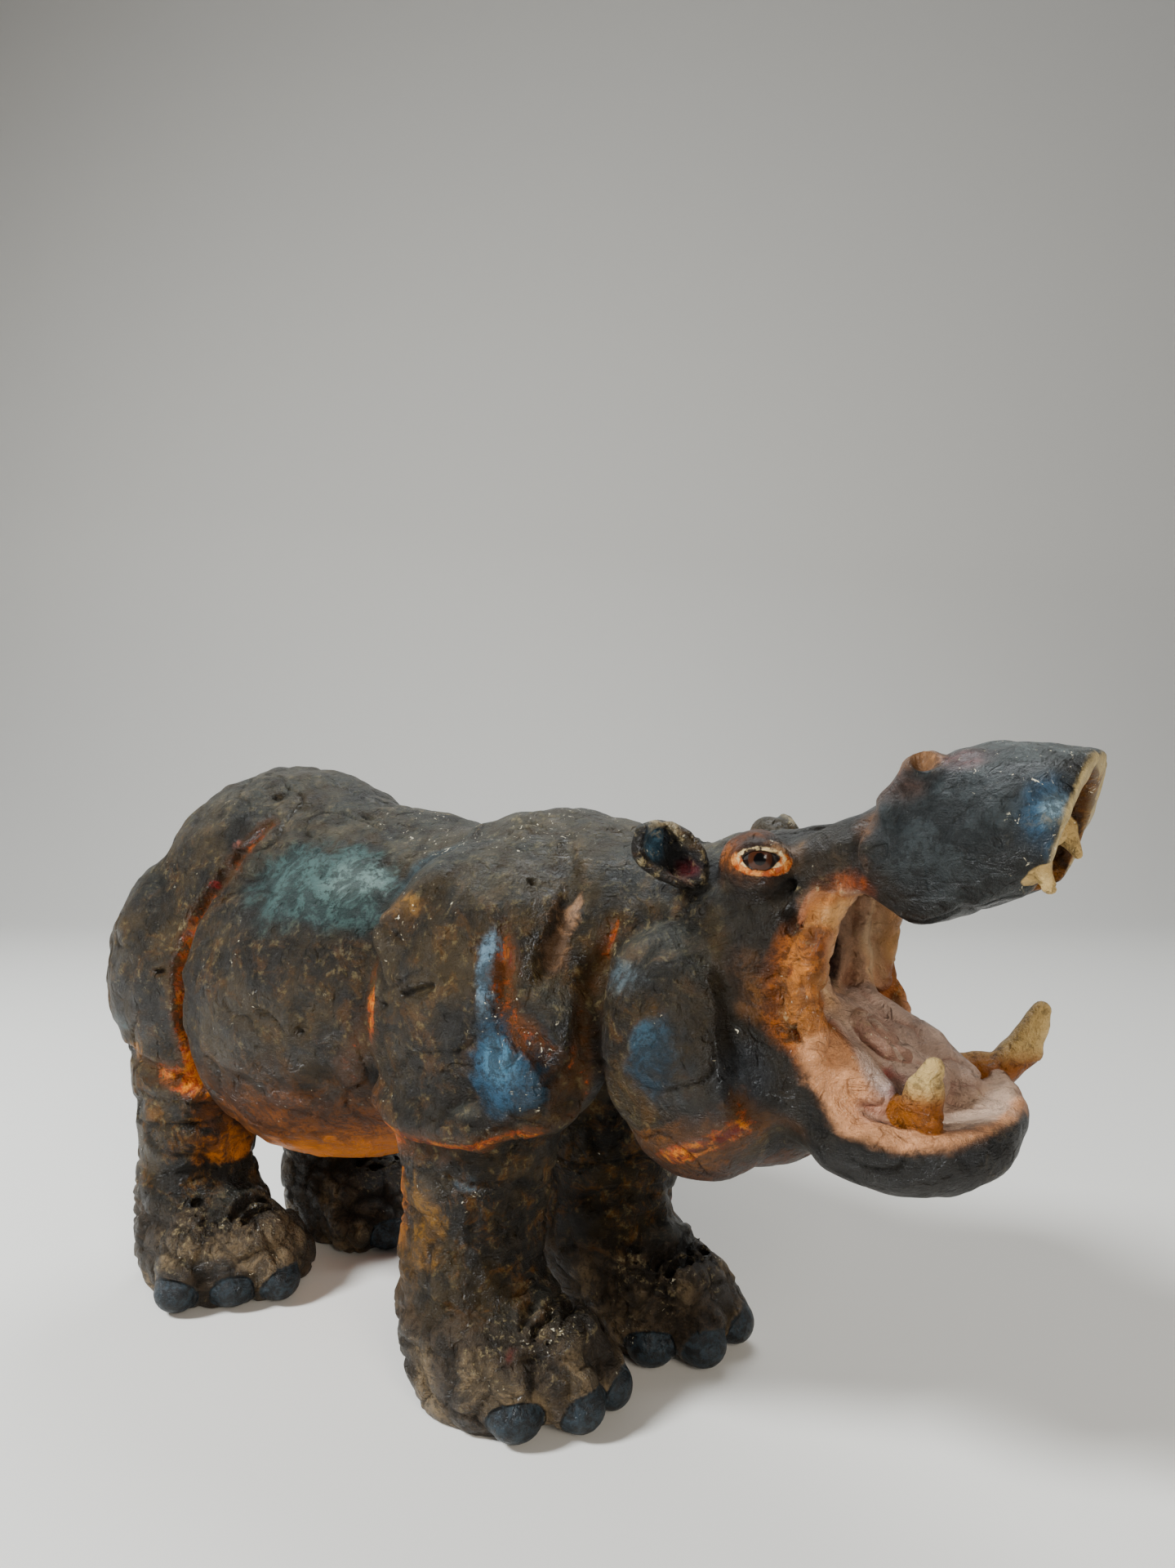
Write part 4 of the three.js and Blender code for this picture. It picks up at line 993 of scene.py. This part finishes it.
# Strokes of paint on the tongue, then on the lips and the rim of the jaw, from the left flank:
# colour, path, half widths, how thick they lie and how far they fade.
TONGUE_STROKES = (
    *(("b89c8c", path, [radius + 0.1 for radius in radii], 0.95, 0.6) for path, radii in TONGUE),
    ("ccb4a0", swirl_path(), (0.5,) * SWIRL_POINTS, 0.9, 0.5),
    ("9c1420", ((35.6, -4.2, 33.0), (37.2, -4.4, 32.2), (39.0, -3.6, 31.4), (40.6, -2.4, 31.0)),
     (0.0, 0.2, 0.2, 0.1), 0.9, 0.4),
)
LIP_STROKES = (
    ("8c4808", LIP, (0.6, 0.9, 1.3, 1.9, 2.2, 1.8), 0.95, 1.2),
    ("bc7430", LIP, (0.2, 0.5, 0.8, 1.1, 1.3, 1.2), 0.8, 0.8),
    ("d8a468", INNER_LIP, (0.9, 1.0, 0.9, 0.9), 0.9, 0.6),
    ("a82c10", [(x - 0.6, 1.06 * y, z) for x, y, z in LIP[2:]], (0, 0, 0, 0), 0.85, 0.4),
    ("b8876c", ((36.4, 7.0, 31.6), (38.0, 7.2, 29.6), (40.6, 6.8, 29.2)), (1.2, 1.5, 1.2), 0.95, 0.6),
    ("cc8f62", JAW_RIM, (1.8, 1.9, 1.2, 0.7, 0.4, 0.3), 0.95, 0.6),
    ("6c1c10", FLOOR_CREASE, (0.15, 0.1, 0.1, 0.0, 0.0), 0.8, 0.35),
    ("c84c20", ((36.6, 7.2, 33.4), (38.2, 7.8, 31.2), (40.2, 7.6, 30.2)), (0, 0, 0), 0.85, 0.35),
)


def paint_mouth(paint):
    points = paint.points
    place = columns(points)
    x, y, z = place
    flesh = mouth_flesh(points)
    paint.lay(flesh, "c8a890", 1.0)
    back = (1 - smooth_step(35.5, 37, x)) * smooth_step(34.6, 36.4, z)
    paint.lay(flesh * back, "cc9a6c", 0.95)
    for ridge in CHEEK_RIDGES:
        paint.stroke("e4c49c", ridge, (0.8, 0.7, 0.6), 0.9, fade=0.5)
    paint.lay(near_egg(points, *THROAT, fade=0.3), "2c140c", 1.0)
    paint.stroke("2a130c", *THROAT_SLIT, 0.9, fade=0.4)
    gullet = 1 - smooth_step(33.6, 34.6, x)
    paint.lay(flesh * gullet * (np.abs(y) < 3.6), "b48c70", 0.8)
    paint.strokes(TONGUE_STROKES)
    paint.patch("ac989c", (39.6, 5.6, 30.6), (2.8, 1.8, 1.4), 0.7)
    for side in SIDES:
        paint.strokes(LIP_STROKES, side)
    hollow = (egg_distance(place, *PALATE) < 0.5) & (x > 42.5) & (z > 44)
    paint.lay(1.0 * hollow, "84500c", 1.0)
    rim = 1 - smooth_step(0.1, 0.35, slab_distance(place, *SNOUT_CUT))
    paint.lay(rim * (z > 44) * (1 - 0.6 * hollow), "ccb47c", 0.95)


def paint_head(paint):
    points = paint.points
    x, _, z = columns(points)
    under = smooth_step(17, 20, x) * (1 - smooth_step(32, 35, x)) * (1 - smooth_step(23.0, 27.0, z))
    paint.lay(under * smooth_step(18, 20, z), "4a2606", 0.9)
    head = smooth_step(24, 30, x) * smooth_step(26, 29, z)
    paint.lay(head, "1f1b14", 0.6)
    jaw = smooth_step(33, 36, x) * (1 - smooth_step(29, 33, z))
    paint.lay(jaw, "14100a", 0.7)
    slate = near_egg(points, (45.0, -0.4, 49.0), (8.6, 8.6, 7.4), fade=2.5)
    paint.lay(slate, "2a3133", 0.7)
    # Painted sheen: a paler grey over the top of the muzzle, where the light falls from above.
    painted_top_sheen = near_egg(points, (47.0, -0.4, 54.4), (5.6, 5.6, 1.8), fade=1.5)
    paint.lay(painted_top_sheen, "5c6462", 0.5)
    for side in SIDES:
        paint.patches(EYE_PATCHES, side)
        paint.stroke("4c1c06", lid_arc(side, UPPER_LID), (0.2,) * 7, 0.9, fade=0.5)
        paint.patches(MUZZLE_PATCHES, side)
        paint_ear(paint, side)
    paint_mouth(paint)


# Where the hide is chipped and scuffed most: middle and radii on the left flank.
CHIPPED = (
    ((48.0, 3.0, 54.0), (6.0, 5.0, 2.4)),
    ((50.6, 6.4, 49.6), (2.0, 3.0, 4.0)),
    ((-42.0, 14.0, 16.0), (3.0, 4.0, 8.0)),
    ((13.2, 16.0, 33.6), (3.0, 3.0, 2.0)),
    ((2.0, 4.0, 50.0), (16.0, 7.0, 3.0)),
    ((0.4, 15.0, 41.4), (2.4, 2.0, 2.4)),
)


def chipped_share(points):
    share = np.zeros(len(points))
    for centre, radii in CHIPPED:
        for side in SIDES:
            share = np.maximum(share, near_egg(points, on_side(centre, side), radii, fade=2.5))
    return share


def store(mesh, name, values):
    attribute = mesh.attributes.new(name, "FLOAT", "POINT")
    attribute.data.foreach_set("value", np.asarray(values, np.float32))


def closeness(clay, points, normals):
    """How deep in a crease a point lies: clay that stands in front of it closes it in."""
    depth = np.zeros(len(points))
    for reach in (0.8, 1.6, 2.4):
        depth += np.clip(1 - clay.sample(points + reach * normals) / reach, 0, 1) / 3
    return depth


def edge_wear(clay, points, normals):
    """How sharply the clay turns away from a point, where paint rubs off."""
    wear = np.zeros(len(points))
    for reach in (0.6, 1.2):
        wear += np.clip(1 + clay.sample(points - reach * normals) / reach, 0, 1) / 2
    return wear


def tooth_distance(points):
    gap = np.inf
    for path, radii in (NEAR_TUSK, FAR_TUSK, *UPPER_TEETH):
        gap = np.minimum(gap, limb_distance(columns(points), path, radii))
    for centre, radius in TUSK_LOBES:
        gap = np.minimum(gap, np.linalg.norm(points - centre, axis=1) - radius)
    return gap


# How far the dark opening between the lids reaches from its middle line.
EYE_SLIT = (-1.0, -0.25, 0.15, 0.3, 0.15, -0.25, -1.0)


def lid_distance(points, opening, ahead, radii=(0,) * 7):
    """How far each point lies from the nearest of the two arcs that an eyelid's edge makes."""
    arcs = [lid_arc(side, opening, ahead) for side in SIDES]
    return np.min([limb_distance(columns(points), arc, radii) for arc in arcs], axis=0)


def ball_distance(points, middles):
    """How far each point lies from the nearest of a few middles."""
    return np.min([np.linalg.norm(points - middle, axis=1) for middle in middles], axis=0)


def nail_distance(points):
    gap = np.full(len(points), EMPTY)
    for foot in FEET.values():
        for tip in foot["toes"]:
            nail, bearing = nail_place(foot["pad"], tip)
            gap = np.minimum(gap, egg_distance(columns(points), nail, NAIL, (0, NAIL_TILT, bearing)))
    return gap


def paint_hippo(clay, mesh):
    flat = np.empty(3 * len(mesh.vertices), np.float32)
    mesh.vertices.foreach_get("co", flat)
    low = np.array([CAD_LOW.x, CAD_LOW.y, 0.0])
    points = (flat.reshape(-1, 3).astype(float) - low) / UNIT + np.array([CLAY_LOW_X, CLAY_LOW_Y, 0.0])
    normals = clay.normals(points)
    paint = Paint(points)
    paint_body(paint)
    paint_feet(paint)
    paint_head(paint)
    colour = mesh.attributes.new("paint", "FLOAT_COLOR", "POINT")
    four = np.concatenate([paint.colour, np.ones((len(points), 1))], axis=1)
    colour.data.foreach_set("color", four.astype(np.float32).ravel())
    flesh = mouth_flesh(points)
    light = smooth_step(0.3, 0.7, paint.colour.max(axis=1)) * paint.cover
    seam, seam_middle = seam_distances(points)
    upper_line = lid_distance(points, UPPER_LID - 0.2, 1.25)
    lower_line = lid_distance(points, LOWER_LID + 0.34, 1.15)
    eyes = [on_side(EYE, side) for side in SIDES]
    gazes = [on_side(EYE, side) + EYE_RADIUS * unit(on_side(GAZE, side)) for side in SIDES]
    stored = {
        "cover": paint.cover,
        # The material darkens points that are closed in, as painted shade in the hollows.
        "closeness": closeness(clay, points, normals),
        "wear": edge_wear(clay, points, normals),
        "cracks": np.maximum(wrinkles(points), nicks(points)),
        # How much each point faces up, which the material paints as sheen of the sky.
        "painted_sky_sheen": np.clip(normals[:, 2], 0, 1),
        "warm": leg_share(points),
        "flesh": flesh,
        "clean": np.maximum(light, 0.8 * flesh),
        "chipped": chipped_share(points),
        "seam": seam,
        "seam_middle": seam_middle,
        "tooth": tooth_distance(points),
        "tip": smooth_step(30.0, 33.5, points[:, 2]),
        "nail": nail_distance(points),
        "lid_line": np.minimum(upper_line, lower_line),
        "lower_lid": lid_distance(points, LOWER_LID, 1.0),
        "eye_slit": lid_distance(points, 0.06, 1.15, EYE_SLIT),
        "swirl": limb_distance(columns(points), swirl_path(), (0,) * SWIRL_POINTS),
        "eyeball": ball_distance(points, eyes),
        "gaze": ball_distance(points, gazes),
    }
    for name, values in stored.items():
        store(mesh, name, values)


# Node material


class Nodes:
    """Short calls for building a node material."""

    def __init__(self, material):
        material.use_nodes = True
        self.tree = material.node_tree
        self.tree.nodes.clear()

    def add(self, kind, inputs=None, **settings):
        node = self.tree.nodes.new(kind)
        for name, value in settings.items():
            setattr(node, name, value)
        for name, value in (inputs or {}).items():
            if isinstance(value, bpy.types.NodeSocket):
                self.tree.links.new(value, node.inputs[name])
            else:
                node.inputs[name].default_value = value
        return node

    def attribute(self, name, output="Fac"):
        return self.add("ShaderNodeAttribute", attribute_name=name).outputs[output]

    def noise(self, vector, scale, detail=4.0, roughness=0.6, distortion=0.0):
        inputs = {"Vector": vector, "Scale": scale, "Detail": detail, "Roughness": roughness,
                  "Distortion": distortion}
        return self.add("ShaderNodeTexNoise", inputs).outputs["Fac"]

    def math(self, operation, first, second=0.0, third=0.0):
        return self.add("ShaderNodeMath", {0: first, 1: second, 2: third}, operation=operation).outputs[0]

    def times(self, first, second):
        return self.math("MULTIPLY", first, second)

    def plus(self, value, extra, share):
        """A value and a share of another value."""
        return self.math("MULTIPLY_ADD", extra, share, value)

    def ragged(self, value, noise, reach):
        """A value that wanders with the noise, by half the reach either way."""
        return self.plus(value, self.math("SUBTRACT", noise, 0.5), reach)

    def dark(self, colour, share):
        """A colour with only a share of its light."""
        return self.mix(1.0, colour, (share,) * 3, "MULTIPLY")

    def band(self, value, low, high):
        """0 at low, 1 at high and smooth between."""
        inputs = {"Value": value, "From Min": low, "From Max": high}
        return self.add("ShaderNodeMapRange", inputs, interpolation_type="SMOOTHSTEP").outputs["Result"]

    def mix(self, factor, first, second, blend="MIX"):
        node = self.add("ShaderNodeMix", data_type="RGBA", blend_type=blend)
        for socket, value in ((node.inputs[0], factor), (node.inputs[6], first), (node.inputs[7], second)):
            if isinstance(value, bpy.types.NodeSocket):
                self.tree.links.new(value, socket)
            elif isinstance(value, tuple):
                socket.default_value = (*value, 1.0)
            else:
                socket.default_value = value
        return node.outputs[2]

    def two_tone(self, value, low, high, first, second):
        """One colour where a value is at low, another where it is at high."""
        return self.mix(self.band(value, low, high), srgb(first), srgb(second))

    def over(self, colour, code, mask, share=1.0):
        """Lays a colour over another where the mask says, as thickly as its share."""
        return self.mix(mask if share == 1.0 else self.times(mask, share), colour, srgb(code))

    def finish(self, inputs):
        """Ends the material in one shader with the given inputs."""
        shader = self.add("ShaderNodeBsdfPrincipled", inputs)
        output = self.add("ShaderNodeOutputMaterial")
        self.tree.links.new(shader.outputs[0], output.inputs[0])


# The noises that colours and relief share: scale, detail, roughness and distortion.
BROAD = (26, 5, 0.65, 0.5)
MIDDLE = (85, 6, 0.75, 0.7)
FINE = (300, 5, 0.75, 0.3)
GRIT = (1100, 3, 0.6)
DENTS = (150, 2, 0.5, 0.6)
CHIPS = (430, 3, 0.6, 0.8)
CHIPPED_PLACES = (34, 5, 0.75)
DARK_STAINS = (60, 6, 0.75, 0.8)
BRUSH_LINES = (1.0, 3, 0.6, 1.2)
BRUSH_STRETCH = (60, 110, 520)

# How deep the finest relief is in metres, and how matt the glaze and the wet eye are.
BUMP_DISTANCE = 0.005
GLAZE_ROUGHNESS = (0.38, 0.7)
EYE_ROUGHNESS = 0.12


def hide_colour(nodes, place, broad, middle, fine):
    """Dark umber and olive stains, warmer on the legs, with painted sheen of the sky in grey where the figure
    faces up.
    """
    colour = nodes.two_tone(broad, 0.4, 0.6, "100a03", "2e220b")
    share = nodes.plus(0.3, nodes.attribute("warm"), 0.4)
    colour = nodes.over(colour, "6a4206", nodes.times(nodes.band(middle, 0.48, 0.66), share))
    other = nodes.noise(place, *DARK_STAINS)
    colour = nodes.over(colour, "090602", nodes.band(other, 0.48, 0.64), 0.85)
    dry = nodes.times(nodes.band(fine, 0.52, 0.64), nodes.band(middle, 0.42, 0.58))
    colour = nodes.over(colour, "8c7c50", dry, 0.34)
    # Painted sheen of the sky: a grey laid over the surfaces that face up.
    painted_sky_sheen = nodes.times(nodes.band(nodes.attribute("painted_sky_sheen"), 0.25, 1.0), nodes.band(middle, 0.36, 0.62))
    return nodes.over(colour, "525a54", painted_sky_sheen, 0.38)


def seam_colour(nodes, colour, middle, fine):
    """Orange in the folds, brown round it and a dark red line down its middle."""
    edge = nodes.ragged(nodes.ragged(nodes.attribute("seam"), fine, 1.8), middle, 2.2)
    colour = nodes.over(colour, "442602", nodes.band(edge, 1.2, 0.3), 0.7)
    orange = nodes.two_tone(fine, 0.42, 0.62, "9c3c00", "dc8414")
    orange = nodes.over(orange, "502800", nodes.band(middle, 0.56, 0.42))
    colour = nodes.mix(nodes.band(edge, 0.45, 0.15), colour, orange)
    line = nodes.ragged(nodes.attribute("seam_middle"), middle, 2.0)
    return nodes.over(colour, "5a1002", nodes.band(line, 0.3, 0.1), 0.8)


def nail_and_tooth(nodes, colour, middle, fine):
    """Blue-black nails, then ivory that is brown at the gum and pale at the tip."""
    nail = nodes.ragged(nodes.attribute("nail"), middle, 0.5)
    black = nodes.two_tone(fine, 0.42, 0.62, "07090b", "202c34")
    colour = nodes.mix(nodes.band(nail, 0.30, 0.18), colour, black)
    share = nodes.plus(nodes.attribute("tip"), fine, 0.6)
    ivory = nodes.two_tone(share, 0.35, 1.15, "84480a", "c4a468")
    ivory = nodes.mix(nodes.band(fine, 0.5, 0.38), ivory, nodes.dark(ivory, 0.55))
    return nodes.mix(nodes.band(nodes.attribute("tooth"), 0.42, 0.28), colour, ivory)


def eye_colour(nodes):
    """A brown eye with a darker edge and a black pupil."""
    gaze = nodes.attribute("gaze")
    colour = nodes.two_tone(gaze, 1.02, 0.85, "140b07", "351a0c")
    return nodes.over(colour, "040303", nodes.band(gaze, 0.52, 0.44))


def lid_colour(nodes, colour, middle, fine):
    """A thick orange lower lid, thin pale lines along both lids and a dark opening between them."""
    low = nodes.ragged(nodes.attribute("lower_lid"), middle, 1.0)
    orange = nodes.two_tone(fine, 0.44, 0.6, "a04406", "d08840")
    colour = nodes.mix(nodes.band(low, 0.56, 0.42), colour, orange)
    line = nodes.ragged(nodes.attribute("lid_line"), fine, 0.5)
    colour = nodes.over(colour, "d8bc88", nodes.band(line, 0.2, 0.1))
    return nodes.over(colour, "140a06", nodes.band(nodes.attribute("eye_slit"), 0.36, 0.26))


def laid_paint(nodes, colour, middle, fine):
    """The stored paint over the hide, with darker grain except where it is light and clean."""
    paint = nodes.attribute("paint", "Color")
    dirty = nodes.plus(1.0, nodes.attribute("clean"), -0.75)
    grain = nodes.math("MAXIMUM", nodes.band(middle, 0.56, 0.44), nodes.band(fine, 0.51, 0.4))
    paint = nodes.mix(nodes.times(grain, dirty), paint, nodes.dark(paint, 0.34))
    edge = nodes.ragged(nodes.ragged(nodes.attribute("cover"), fine, 0.6), middle, 0.9)
    return nodes.mix(nodes.band(edge, 0.15, 0.75), colour, paint)


def swirl_groove(nodes, colour):
    """A darker line along both sides of the coil on the tongue."""
    swirl = nodes.attribute("swirl")
    groove = nodes.times(nodes.band(swirl, 0.42, 0.52), nodes.band(swirl, 0.72, 0.6))
    return nodes.over(colour, "84503c", groove, 0.6)


def paint_shade_in_creases(nodes, colour):
    """Painted shade in the hollows, and darker cracks: brown on the hide, red in the mouth, and less in the
    orange.
    """
    closed_in = nodes.band(nodes.attribute("closeness"), 0.3, 0.8)
    deep = nodes.math("MAXIMUM", closed_in, nodes.band(nodes.attribute("cracks"), 0.2, 0.8))
    flesh = nodes.band(nodes.attribute("flesh"), 0.3, 0.7)
    shadow = nodes.mix(flesh, srgb("080502"), srgb("8c4430"))
    orange = nodes.band(nodes.attribute("seam"), 1.0, 0.2)
    share = nodes.plus(0.75, nodes.math("MAXIMUM", flesh, orange), -0.45)
    return nodes.mix(nodes.times(deep, share), colour, shadow)


def worn_edges(nodes, colour, place, fine):
    """Paint rubbed off the edges, and small ragged chips of pale paint gathered in places."""
    wear = nodes.attribute("wear")
    chipped = nodes.attribute("chipped")
    worn = nodes.plus(nodes.plus(wear, chipped, 0.15), nodes.attribute("warm"), 0.1)
    worn = nodes.times(nodes.band(worn, 0.3, 0.7), nodes.band(fine, 0.54, 0.66))
    colour = nodes.over(colour, "a8966c", worn, 0.42)
    chips = nodes.band(nodes.noise(place, *CHIPS), 0.66, 0.7)
    gathered = nodes.plus(nodes.plus(nodes.noise(place, *CHIPPED_PLACES), wear, 0.12), chipped, 0.22)
    flecks = nodes.times(chips, nodes.band(gathered, 0.58, 0.66))
    return nodes.over(colour, "e0d6b8", flecks, 0.9)


def fine_relief(nodes, place, middle, fine, eye):
    """The grain of the glaze: lumps, grit, dents and fine brush lines, but a smooth eye and nails."""
    grit = nodes.noise(place, *GRIT)
    dents = nodes.band(nodes.noise(place, *DENTS), 0.42, 0.3)
    stretched = nodes.add("ShaderNodeMapping", {"Vector": place, "Scale": BRUSH_STRETCH}).outputs[0]
    brush_lines = nodes.band(nodes.noise(stretched, *BRUSH_LINES), 0.54, 0.7)
    height = nodes.plus(nodes.times(fine, 0.42), middle, 0.7)
    for grain, share in ((grit, 0.14), (dents, -0.22), (brush_lines, -0.07)):
        height = nodes.plus(height, grain, share)
    nail = nodes.times(nodes.band(nodes.attribute("nail"), 0.3, 0.1), 0.6)
    height = nodes.times(height, nodes.math("SUBTRACT", 1.0, nodes.math("MAXIMUM", eye, nail)))
    inputs = {"Height": height, "Strength": 1.0, "Distance": BUMP_DISTANCE}
    return nodes.add("ShaderNodeBump", inputs).outputs[0]


def clay_material():
    material = bpy.data.materials.new("stained_clay")
    nodes = Nodes(material)
    place = nodes.add("ShaderNodeTexCoord").outputs["Object"]
    broad = nodes.noise(place, *BROAD)
    middle = nodes.noise(place, *MIDDLE)
    fine = nodes.noise(place, *FINE)
    eye = nodes.band(nodes.attribute("eyeball"), 1.46, 1.41)

    colour = hide_colour(nodes, place, broad, middle, fine)
    colour = laid_paint(nodes, colour, middle, fine)
    colour = seam_colour(nodes, colour, middle, fine)
    colour = lid_colour(nodes, colour, middle, fine)
    colour = swirl_groove(nodes, colour)
    colour = paint_shade_in_creases(nodes, colour)
    colour = nail_and_tooth(nodes, colour, middle, fine)
    colour = worn_edges(nodes, colour, place, fine)
    colour = nodes.mix(eye, colour, eye_colour(nodes))

    relief = fine_relief(nodes, place, middle, fine, eye)
    inputs = {"Value": middle, "From Min": 0.35, "From Max": 0.65,
              "To Min": GLAZE_ROUGHNESS[0], "To Max": GLAZE_ROUGHNESS[1]}
    dull = nodes.add("ShaderNodeMapRange", inputs).outputs["Result"]
    wet = nodes.add("ShaderNodeMix", {0: eye, 2: dull, 3: EYE_ROUGHNESS}, data_type="FLOAT").outputs[0]
    nodes.finish({"Base Color": colour, "Roughness": wet, "Normal": relief, "Specular IOR Level": 0.1,
                  "Coat Weight": 0.4, "Coat Roughness": 0.14, "Coat Normal": relief})
    return material


# Studio


# The camera's place in clay units, its bearing in degrees, and its focal length and the
# photograph's height in pixels.
CAMERA_PLACE = (69.7, -81.0, 52.3)
CAMERA_BEARING = 37
FOCAL_LENGTH = 1386
PHOTO_HEIGHT = 1920
SENSOR_WIDTH = 36.0


def make_camera():
    """At the photograph's angle: level, and round from the right flank towards the head."""
    data = bpy.data.cameras.new("camera")
    data.sensor_width = SENSOR_WIDTH
    data.lens = SENSOR_WIDTH * FOCAL_LENGTH / PHOTO_HEIGHT
    camera = bpy.data.objects.new("camera", data)
    camera.location = Vector(to_metres(np.array(CAMERA_PLACE)))
    camera.rotation_euler = (math.radians(90), 0, math.radians(CAMERA_BEARING))
    bpy.context.collection.objects.link(camera)
    bpy.context.scene.camera = camera


def make_light(name, place, size, power, colour):
    data = bpy.data.lights.new(name, "AREA")
    data.shape = "DISK"
    data.size = size
    data.energy = power
    data.color = colour
    light = bpy.data.objects.new(name, data)
    light.location = place
    light.rotation_euler = (Vector(LIT_POINT) - Vector(place)).to_track_quat("-Z", "Y").to_euler()
    bpy.context.collection.objects.link(light)


# Each light's place and size in metres, power in watts and colour. All of them face the figure.
LIGHTS = {
    "window": ((-0.75, -1.1, 1.25), 0.4, 66, (0.92, 0.97, 1.0)),
    "fill": ((1.25, -0.85, 0.75), 0.6, 17, (1.0, 0.92, 0.80)),
    "top": ((-0.5, 0.9, 1.6), 1.0, 20, (0.92, 0.97, 1.0)),
}
LIT_POINT = (0, 0, 0.12)
SKY_COLOUR = (0.9, 0.93, 1.0, 1.0)
SKY_STRENGTH = 0.16


def make_studio():
    for name, light in LIGHTS.items():
        make_light(name, *light)
    world = bpy.data.worlds.new("studio")
    world.use_nodes = True
    background = world.node_tree.nodes["Background"]
    background.inputs["Color"].default_value = SKY_COLOUR
    background.inputs["Strength"].default_value = SKY_STRENGTH
    bpy.context.scene.world = world


def make_floor():
    """A pale sweep: a flat floor that curves up into a backdrop behind the figure."""
    half_width, front, back, rise, bend = 4.0, -4.0, 2.2, 3.0, 0.8
    bend_steps = 12
    profile = [(front, 0.0), (back - bend, 0.0)]
    for step in range(1, bend_steps + 1):
        angle = math.radians(90 * step / bend_steps)
        profile.append((back - bend + bend * math.sin(angle), bend - bend * math.cos(angle)))
    profile.append((back, rise))
    points = [(x, y, z) for y, z in profile for x in (-half_width, half_width)]
    faces = [(2 * n, 2 * n + 1, 2 * n + 3, 2 * n + 2) for n in range(len(profile) - 1)]
    mesh = bpy.data.meshes.new("sweep")
    mesh.from_pydata(points, [], faces)
    mesh.shade_smooth()
    material = bpy.data.materials.new("sweep")
    Nodes(material).finish({"Base Color": (*srgb("d9d6d0"), 1.0), "Roughness": 0.9})
    mesh.materials.append(material)
    sweep = bpy.data.objects.new("sweep", mesh)
    sweep.rotation_euler = (0, 0, math.radians(CAMERA_BEARING))
    bpy.context.collection.objects.link(sweep)


def make_hippo():
    clay = model_hippo()
    piece = bpy.data.objects.new("hippo_figure", make_mesh(clay))
    bpy.context.collection.objects.link(piece)
    thin_out(piece, TRIANGLES)
    paint_hippo(clay, piece.data)
    piece.data.materials.append(clay_material())
    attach(piece, "root")
    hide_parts(NODE)


make_camera()
make_studio()
make_floor()
make_hippo()
